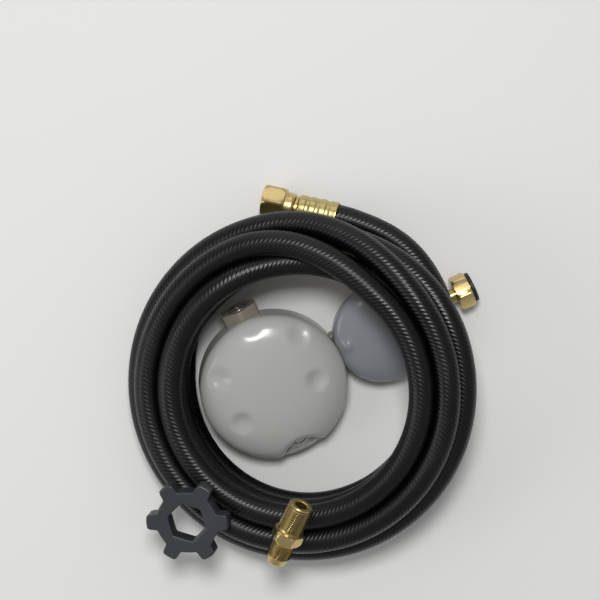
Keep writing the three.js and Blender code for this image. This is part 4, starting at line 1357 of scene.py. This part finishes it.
@dataclass
class Cover:
    """A moulded cover: a straight side, a rounded shoulder and a crowned top.

    dimples are (x, y, depth), pad is a low bump's (x, y), and notch is a round bite's (distance
    of its middle from the axis, radius).
    """

    radius: float
    wall: float
    side: float
    height: float
    bottom: float
    centre: float = 0.0
    dimples: tuple[Place, ...] = ()
    dimple_radius: float = 9.5
    pad: tuple[float, float] | None = None
    pad_height: float = 1.7
    pad_spread: float = 4.0
    notch: tuple[float, float] | None = None
    roll_width: float = 3.2
    roll_inside: float = -1.0
    roll_rate: float = 0.21
    out_power: float = 0.8
    up_power: float = 0.9
    sides: int = 180

    def crown(self, out: float, inset: float) -> float:
        """Returns the crown's height at a distance from its axis.

        Args:
            out: Distance from the axis.
            inset: How far the surface is taken in.

        Returns:
            The height in millimetres.
        """
        across = min(1.0, (out / (self.radius - inset)) ** (1 / self.out_power))
        return self.side + (self.height - inset - self.side) * math.sqrt(1 - across**2) ** self.up_power

    def sunk(self, x: float, y: float) -> float:
        """Finds how far the dimples, the pad and the notch's rolled edge lower the surface.

        Args:
            x: The point's X from the axis.
            y: Its Y.

        Returns:
            The depth in millimetres.
        """
        depth = 0.0
        for across, up, deep in self.dimples:
            away = math.hypot(x - across, y - up)
            if away < self.dimple_radius:
                depth += deep * (1 - (away / self.dimple_radius) ** 2) ** 2
        if self.pad:
            away = math.hypot(x - self.pad[0], y - self.pad[1])
            depth -= self.pad_height * math.exp(-(away / self.pad_spread) ** 2)
        if self.notch:
            edge = math.hypot(x, y + self.notch[0]) - self.notch[1]
            if edge < self.roll_width:
                depth += self.roll_rate * (self.roll_width - max(edge, self.roll_inside)) ** 2
        return depth

    def shell(self, name: str, inset: float, bottom: float, at: Matrix) -> bpy.types.Object:
        """Builds the closed outside or inside form.

        Args:
            name: Its name.
            inset: How far it is taken in from the outside.
            bottom: Height of its flat bottom.
            at: The cover's frame.

        Returns:
            The new object.
        """
        radius, sides = self.radius - inset, self.sides
        outs = [radius * math.sin(math.radians(a)) ** 0.55 for a in range(3, 90, 3)]
        outs = sorted({round(o, 4) for o in [*outs, *(radius * i / 34 for i in range(1, 34))]})
        points: list[Place] = [(0.0, 0.0, self.crown(0.0, inset) - self.sunk(0, 0))]
        for out in [*outs, radius]:
            for angle in round_angles(sides):
                x, y = out * math.cos(angle), out * math.sin(angle)
                points.append((x, y, self.crown(out, inset) - self.sunk(x, y)))
        points += [Axis.Z.point(radius, angle, bottom) for angle in round_angles(sides)]
        rows = len(outs) + 2
        faces: list[tuple[int, ...]] = [(0, 1 + c, 1 + (c + 1) % sides) for c in range(sides)]
        for start in range(1, 1 + (rows - 1) * sides, sides):
            for c in range(sides):
                d = (c + 1) % sides
                faces.append((start + c, start + sides + c, start + sides + d, start + d))
        faces.append(tuple(reversed([1 + (rows - 1) * sides + c for c in range(sides)])))
        piece = make_object(name, points, faces, shift(at, self.centre))
        clean(piece)
        return piece

    def build(self, name: str, at: Matrix, cuts: Sequence[bpy.types.Object]) -> bpy.types.Object:
        """Builds the hollow cover and cuts its openings.

        Args:
            name: The piece's name.
            at: The regulator's frame.
            cuts: Further tools to cut with.

        Returns:
            The cover.
        """
        outer = self.shell(name, 0.0, self.bottom, at)
        hollow = self.shell(f"{name}_hollow", self.wall, self.bottom - 1, at)
        tools = list(cuts)
        if self.notch:
            on_notch = shift(at, y=-self.notch[0])
            keep = rod("notch_wall", self.notch[1] + self.wall, -60, 60, on_notch, sides=128)
            work_on(hollow, [keep], Mode.CUT)
            tools.append(rod("notch", self.notch[1], -60, 60, on_notch, sides=128))
        work_on(outer, [hollow, *tools], Mode.CUT)
        clean(outer, WELD)
        smooth_shade(outer, 35)
        return outer


@dataclass
class Spring:
    """A coil spring of round wire."""

    node: str
    joint: str
    travel: float
    x: float
    radius: float
    wire: float
    bottom: float
    top: float
    turns: float
    steps: int = 32
    sides: int = 12

    def build(self, at: Matrix) -> None:
        """Builds and dresses the spring.

        Args:
            at: The regulator's frame.
        """
        on_axis, half = shift(at, self.x), self.wire / 2
        rows = round(self.turns * self.steps)
        points: list[Place] = []
        for i in range(rows + 1):
            height = self.bottom + half + (self.top - self.bottom - self.wire) * i / rows
            turn = 2 * math.pi * self.turns * i / rows
            points += [Axis.Z.point(self.radius + half * math.cos(a), turn, height + half * math.sin(a))
                       for a in round_angles(self.sides)]
        piece = make_object(f"{self.node}_wire", points, tube_faces(rows + 1, self.sides, False), on_axis)
        clean(piece)
        smooth_shade(piece, 50)
        settle(piece, "regulator", SPRING_WIRE, "steel", self.node)
        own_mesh(piece)


@dataclass
class Regulator:
    """The two-stage regulator: cast body, bonnets, covers and inlet."""

    flange: float = 47.5
    first_x: float = 82.1
    first_flange: float = 31.4
    inlet_z: float = -4.6
    outlet_z: float = -3.0
    valve_z: float = -7.0
    vent_y: float = -38.5
    notch: tuple[float, float] = (55.8, 16.7)
    dimples: tuple[Place, ...] = (
        (28.0, -5.0, 2.4), (30.5, 28.0, 2.2), (3.0, 46.5, 0.8), (-29.8, 23.4, 2.4), (-29.2, -10.4, 2.4))
    pad: tuple[float, float] = (-26.0, 4.0)
    second_bolts: tuple[int, float] = (6, 43.0)
    first_bolts: tuple[int, float] = (4, 27.6)
    bolt_hole: float = 1.9
    voxel: float = 0.0009
    softening: tuple[float, int] = (0.5, 4)

    def __post_init__(self) -> None:
        """Finds the frames of the regulator's parts."""
        self.at = regulator_frame()
        self.at_first = shift(self.at, self.first_x)
        self.at_inlet = shift(self.at, self.first_x, z=self.inlet_z)
        self.at_outlet = shift(self.at, z=self.outlet_z)
        self.at_vent = shift(self.at, y=self.vent_y)

    def turned(self, name: str, rings: Sequence[Ring | tuple], at: Matrix,
               sides: int = 128) -> bpy.types.Object:
        """Builds a round piece that stands on the regulator's Z axis or one beside it.

        Args:
            name: Its name.
            rings: Its outline.
            at: Its frame.
            sides: Number of facets.

        Returns:
            The new object.
        """
        return Turned(name, rings, at, Axis.Z, sides=sides).build()

    def holes(self, at: Matrix, bolts: tuple[int, float], first: float) -> list[bpy.types.Object]:
        """Makes the cutters of a ring of screw holes.

        Args:
            at: The flange's frame.
            bolts: Number of screws and radius of their circle.
            first: Azimuth of the first one in degrees.

        Returns:
            The cutters.
        """
        count, circle = bolts
        places = [Axis.Z.point(circle, math.radians(first) + turn, 0) for turn in round_angles(count)]
        return [rod("screw_hole", self.bolt_hole, -2, 12, shift(at, *place), sides=24) for place in places]

    def worked(self, piece: bpy.types.Object, tools: Sequence[bpy.types.Object]) -> bpy.types.Object:
        """Cuts a piece and cleans it up.

        Args:
            piece: The piece.
            tools: What is cut out of it.

        Returns:
            The piece.
        """
        work_on(piece, tools, Mode.CUT)
        clean(piece, WELD)
        smooth_shade(piece)
        return piece

    def covers(self) -> None:
        """Builds both covers."""
        at = self.at
        large = Cover(50.0, 2.0, 12.0, 26.0, -5.4, notch=self.notch, dimples=self.dimples)
        hexagon = [(0.0, 31), (13.4, 31), (15.4, 31, Form.HEX), (15.4, 60, Form.HEX), (0.0, 60)]
        cuts = [
            rod("vent_gap", 8.9, -20, 10.4, self.at_vent),
            rod("flange_gap", self.flange + 0.4, -20, 4.9, at, sides=128),
            Turned("outlet_gap", hexagon, self.at_outlet, Axis.Y, across_flats=25.8).build(),
            block("neck_gap", (31, -13.4, -8), (51, 13.4, -2.1), at),
        ]
        settle(large.build("large_cover", at, cuts), "cover", COVER_PLASTIC, "cover_plastic",
               "second_stage_cover")
        small = Cover(34.0, 1.3, 6.8, 15.4, 0.2, centre=self.first_x, pad=self.pad)
        cuts = [rod("cover_gap", 50.4, -40, 60, at, sides=180),
                rod("inlet_gap", 9.4, 20, 60, self.at_inlet, Axis.X)]
        settle(small.build("small_cover", at, cuts), "regulator", SHADED_COVER_PLASTIC, "cover_plastic",
               "first_stage_cover")

    def casting(self) -> None:
        """Builds the cast body with its soft edges, drilled out as the real one is."""
        at = self.at
        pan = self.turned("cast_body", [
            (0.0, -14), (16, -14), (37, -7.5), (37, -5.5), (self.flange, -5.5), (self.flange, 0),
            (0.0, 0)], at)
        bowl = self.turned("bowl", [
            (0.0, -13.5), (14, -13.5), (24, -8), (24, -0.4), (self.first_flange, -0.4),
            (self.first_flange, 4.6), (0.0, 4.6)], self.at_first, 96)
        hexagon = [(0.0, 32), (14.4, 32, Form.HEX), (14.4, 56.5, Form.HEX), (0.0, 56.5)]
        boss = Turned("outlet_boss", hexagon, self.at_outlet, Axis.Y, across_flats=25.0).build()
        work_on(boss, [rod("above", 48.1, 0, 25, at, sides=128)], Mode.CUT)
        link = block("link", (25, -11.8, -13), (66, 11.8, -2.5), at)
        work_on(pan, [bowl, link, rod("inlet_boss", 9, 20, 42, self.at_inlet, Axis.X), boss], Mode.JOIN)
        work_on(pan, [
            self.turned("chamber", [(0.0, -10.5), (14, -10.5), (31, -5), (31, 2), (0.0, 2)], at, 96),
            rod("first_chamber", 20, -1, 6, self.at_first),
            rod("outlet_port", 7.2, 40.5, 58, self.at_outlet, Axis.Y),
            rod("inlet_port", 5.5, 30, 44, self.at_inlet, Axis.X),
            rod("poppet_bore", 4.6, -20, -2.8, self.at_first),
            rod("pin_bore", 1.8, -4, 0, self.at_first, sides=24),
            rod("orifice_bore", 3.8, 13.5, 30.6, shift(at, z=self.valve_z), Axis.X),
        ], Mode.CUT)
        remesh = pan.modifiers.new("cast", "REMESH")
        remesh.mode = "VOXEL"
        remesh.voxel_size = self.voxel
        soft = pan.modifiers.new("soft", "SMOOTH")
        soft.factor, soft.iterations = self.softening
        bake_modifiers(pan)
        smooth_shade(pan, 60)
        settle(pan, "regulator", CAST_PAINT, "casting", "regulator_body")

    def port(self) -> None:
        """Builds the machined thread inside the outlet."""
        rings = [(8.1, 41.0), (8.1, 56.35), (8.05, 56.5), (7.9, 56.5),
                 *reversed(thread_rings(7.2, 7.7, 42.0, 56.0)), (7.0, 41.0)]
        piece = Turned("outlet_thread", rings, self.at_outlet, Axis.Y, sides=96).build()
        settle(piece, "regulator", BRIGHT_ZINC, "casting")

    def bonnets(self) -> None:
        """Builds the two bonnets under the covers."""
        flange = self.flange
        large = self.turned("large_bonnet", [
            (37, 1.6), (flange - 0.3, 1.6), (flange, 1.9), (flange, 4.3), (flange - 0.3, 4.6), (36.7, 4.6),
            (28.4, 9.2), (27.6, 9.8), (14.0, 12.9), (13.0, 13.6), (13.0, 21.1), (12.6, 21.5), (10.6, 21.5),
            (10.3, 21.2), (10.3, 11.0), (26, 7.6)], self.at)
        work_on(large, [rod("vent_boss", 8.5, 1.6, 10, self.at_vent)], Mode.JOIN)
        cuts = [rod("vent_cup", 6.4, 4, 12, self.at_vent),
                rod("vent_hole", 2.2, 0, 5, shift(self.at_vent, y=3.2), sides=24)]
        cuts += self.holes(self.at, self.second_bolts, 0)
        settle(self.worked(large, cuts), "regulator", BRIGHT_ZINC, "bonnet_metal", "second_stage_bonnet")
        self.vent_lip()
        small = self.turned("small_bonnet", [
            (22, 6.0), (31.1, 6.0), (31.4, 6.3), (31.4, 7.9), (31.1, 8.2), (24, 8.2), (18.3, 12.2),
            (17.6, 12.6), (0.0, 12.6), (0.0, 11.2), (16.6, 11.2)], self.at_first, 96)
        cuts = [*self.holes(self.at_first, self.first_bolts, 45),
                rod("breather", 1.5, 9, 14, shift(self.at_first, 13), sides=24)]
        settle(self.worked(small, cuts), "regulator", BRIGHT_ZINC, "bonnet_metal", "first_stage_bonnet")

    def vent_lip(self) -> None:
        """Builds the rough ledge that fills the cover's notch outside the vent."""
        lip = rod("vent_lip", 49.5, 0.6, 10.2, self.at, sides=180)
        edge = [(16.1, -2), (16.1, 9.4), (15.3, 12), (90, 12), (90, -2)]
        cuts = [self.turned("lip_edge", edge, shift(self.at, y=-self.notch[0])),
                rod("vent_boss_gap", 8.6, 0, 12, self.at_vent),
                rod("inner_gap", 36.0, -1, 12, self.at, sides=96)]
        settle(self.worked(lip, cuts), "regulator", ROUGH_ZINC, "bonnet_metal")

    def inlet(self) -> None:
        """Builds the inlet: nipple, black sealing ring and the nut that turns on them."""
        nipple = Turned("inlet_stub", [
            (3.2, 30.4), (5.2, 30.4), (5.2, 42.3), (7.0, 42.3), (7.6, 42.6, Form.HEX), (8.6, 43.3, Form.HEX),
            (8.6, 48.0, Form.HEX), (7.6, 48.8, Form.HEX), (7.0, 49.0), (5.2, 49.0), (5.2, 60.4), (8.4, 60.4),
            (8.4, 63.4), (3.2, 63.4)], self.at_inlet, across_flats=15.0).build()
        settle(nipple, "regulator", BRASS, "brass", "inlet_nipple")
        seal = Turned("sealing_ring", [
            (3.2, 63.7), (8.1, 63.7), (8.1, 67.3), (10.0, 67.3), (10.4, 67.6), (10.4, 68.9),
            *arc_rings((9.6, 68.9), 0.8, 0, 90), (4.2, 69.7), (3.2, 68.9)], self.at_inlet, sides=96).build()
        settle(seal, "regulator", SEAL_RUBBER, "seal_rubber", "inlet_seal")
        nut = Turned("inlet_union_nut", [
            (5.6, 56.3), (5.9, 56.0), (10.4, 56.0), (11.3, 56.3, Form.HEX), (12.9, 57.6, Form.HEX),
            (12.9, 65.4, Form.HEX), (11.3, 66.7, Form.HEX), (10.6, 67.0), (9.2, 67.0), (8.9, 66.7),
            (8.9, 60.0), (5.6, 60.0)], self.at_inlet, turn=30.0, across_flats=22.2).build()
        settle(nut, "inlet_nut", BRASS, "brass", "inlet_nut")

    def build(self) -> None:
        """Builds the whole regulator."""
        self.covers()
        self.casting()
        self.port()
        self.bonnets()
        self.inlet()
        Spring("main_spring", "diaphragm_travel", travel=1.2, x=0.0, radius=7.6, wire=1.6,
               bottom=2.8, top=16.2, turns=4.5).build(self.at)
        Spring("first_stage_spring", "first_stage_travel", travel=1.0, x=self.first_x, radius=7.0, wire=1.4,
               bottom=7.2, top=11.2, turns=1.5).build(self.at)


def dress_inside() -> None:
    """Dresses the pieces that keep their CAD shapes."""
    for name, node in frame["nodes"].items():
        for finish, parts in INSIDE.items():
            if any(part in name for part in parts):
                dress(node, finish)


def main() -> None:
    """Builds the studio, then the hose and its ends, the loose pieces and the regulator."""
    logging.basicConfig(level=logging.INFO, format="%(name)s: %(message)s")
    Studio().build()
    end_a, end_b = HoseEnd("a", 30.0), HoseEnd("b", 0.0)
    fittings = [*end_a.build(), *end_b.build()]
    Hose().build(end_a.at(), end_b.at(), fittings)
    FlareAdapter().build()
    Handwheel().build()
    Regulator().build()
    dress_inside()


if __name__ == "__main__":
    main()
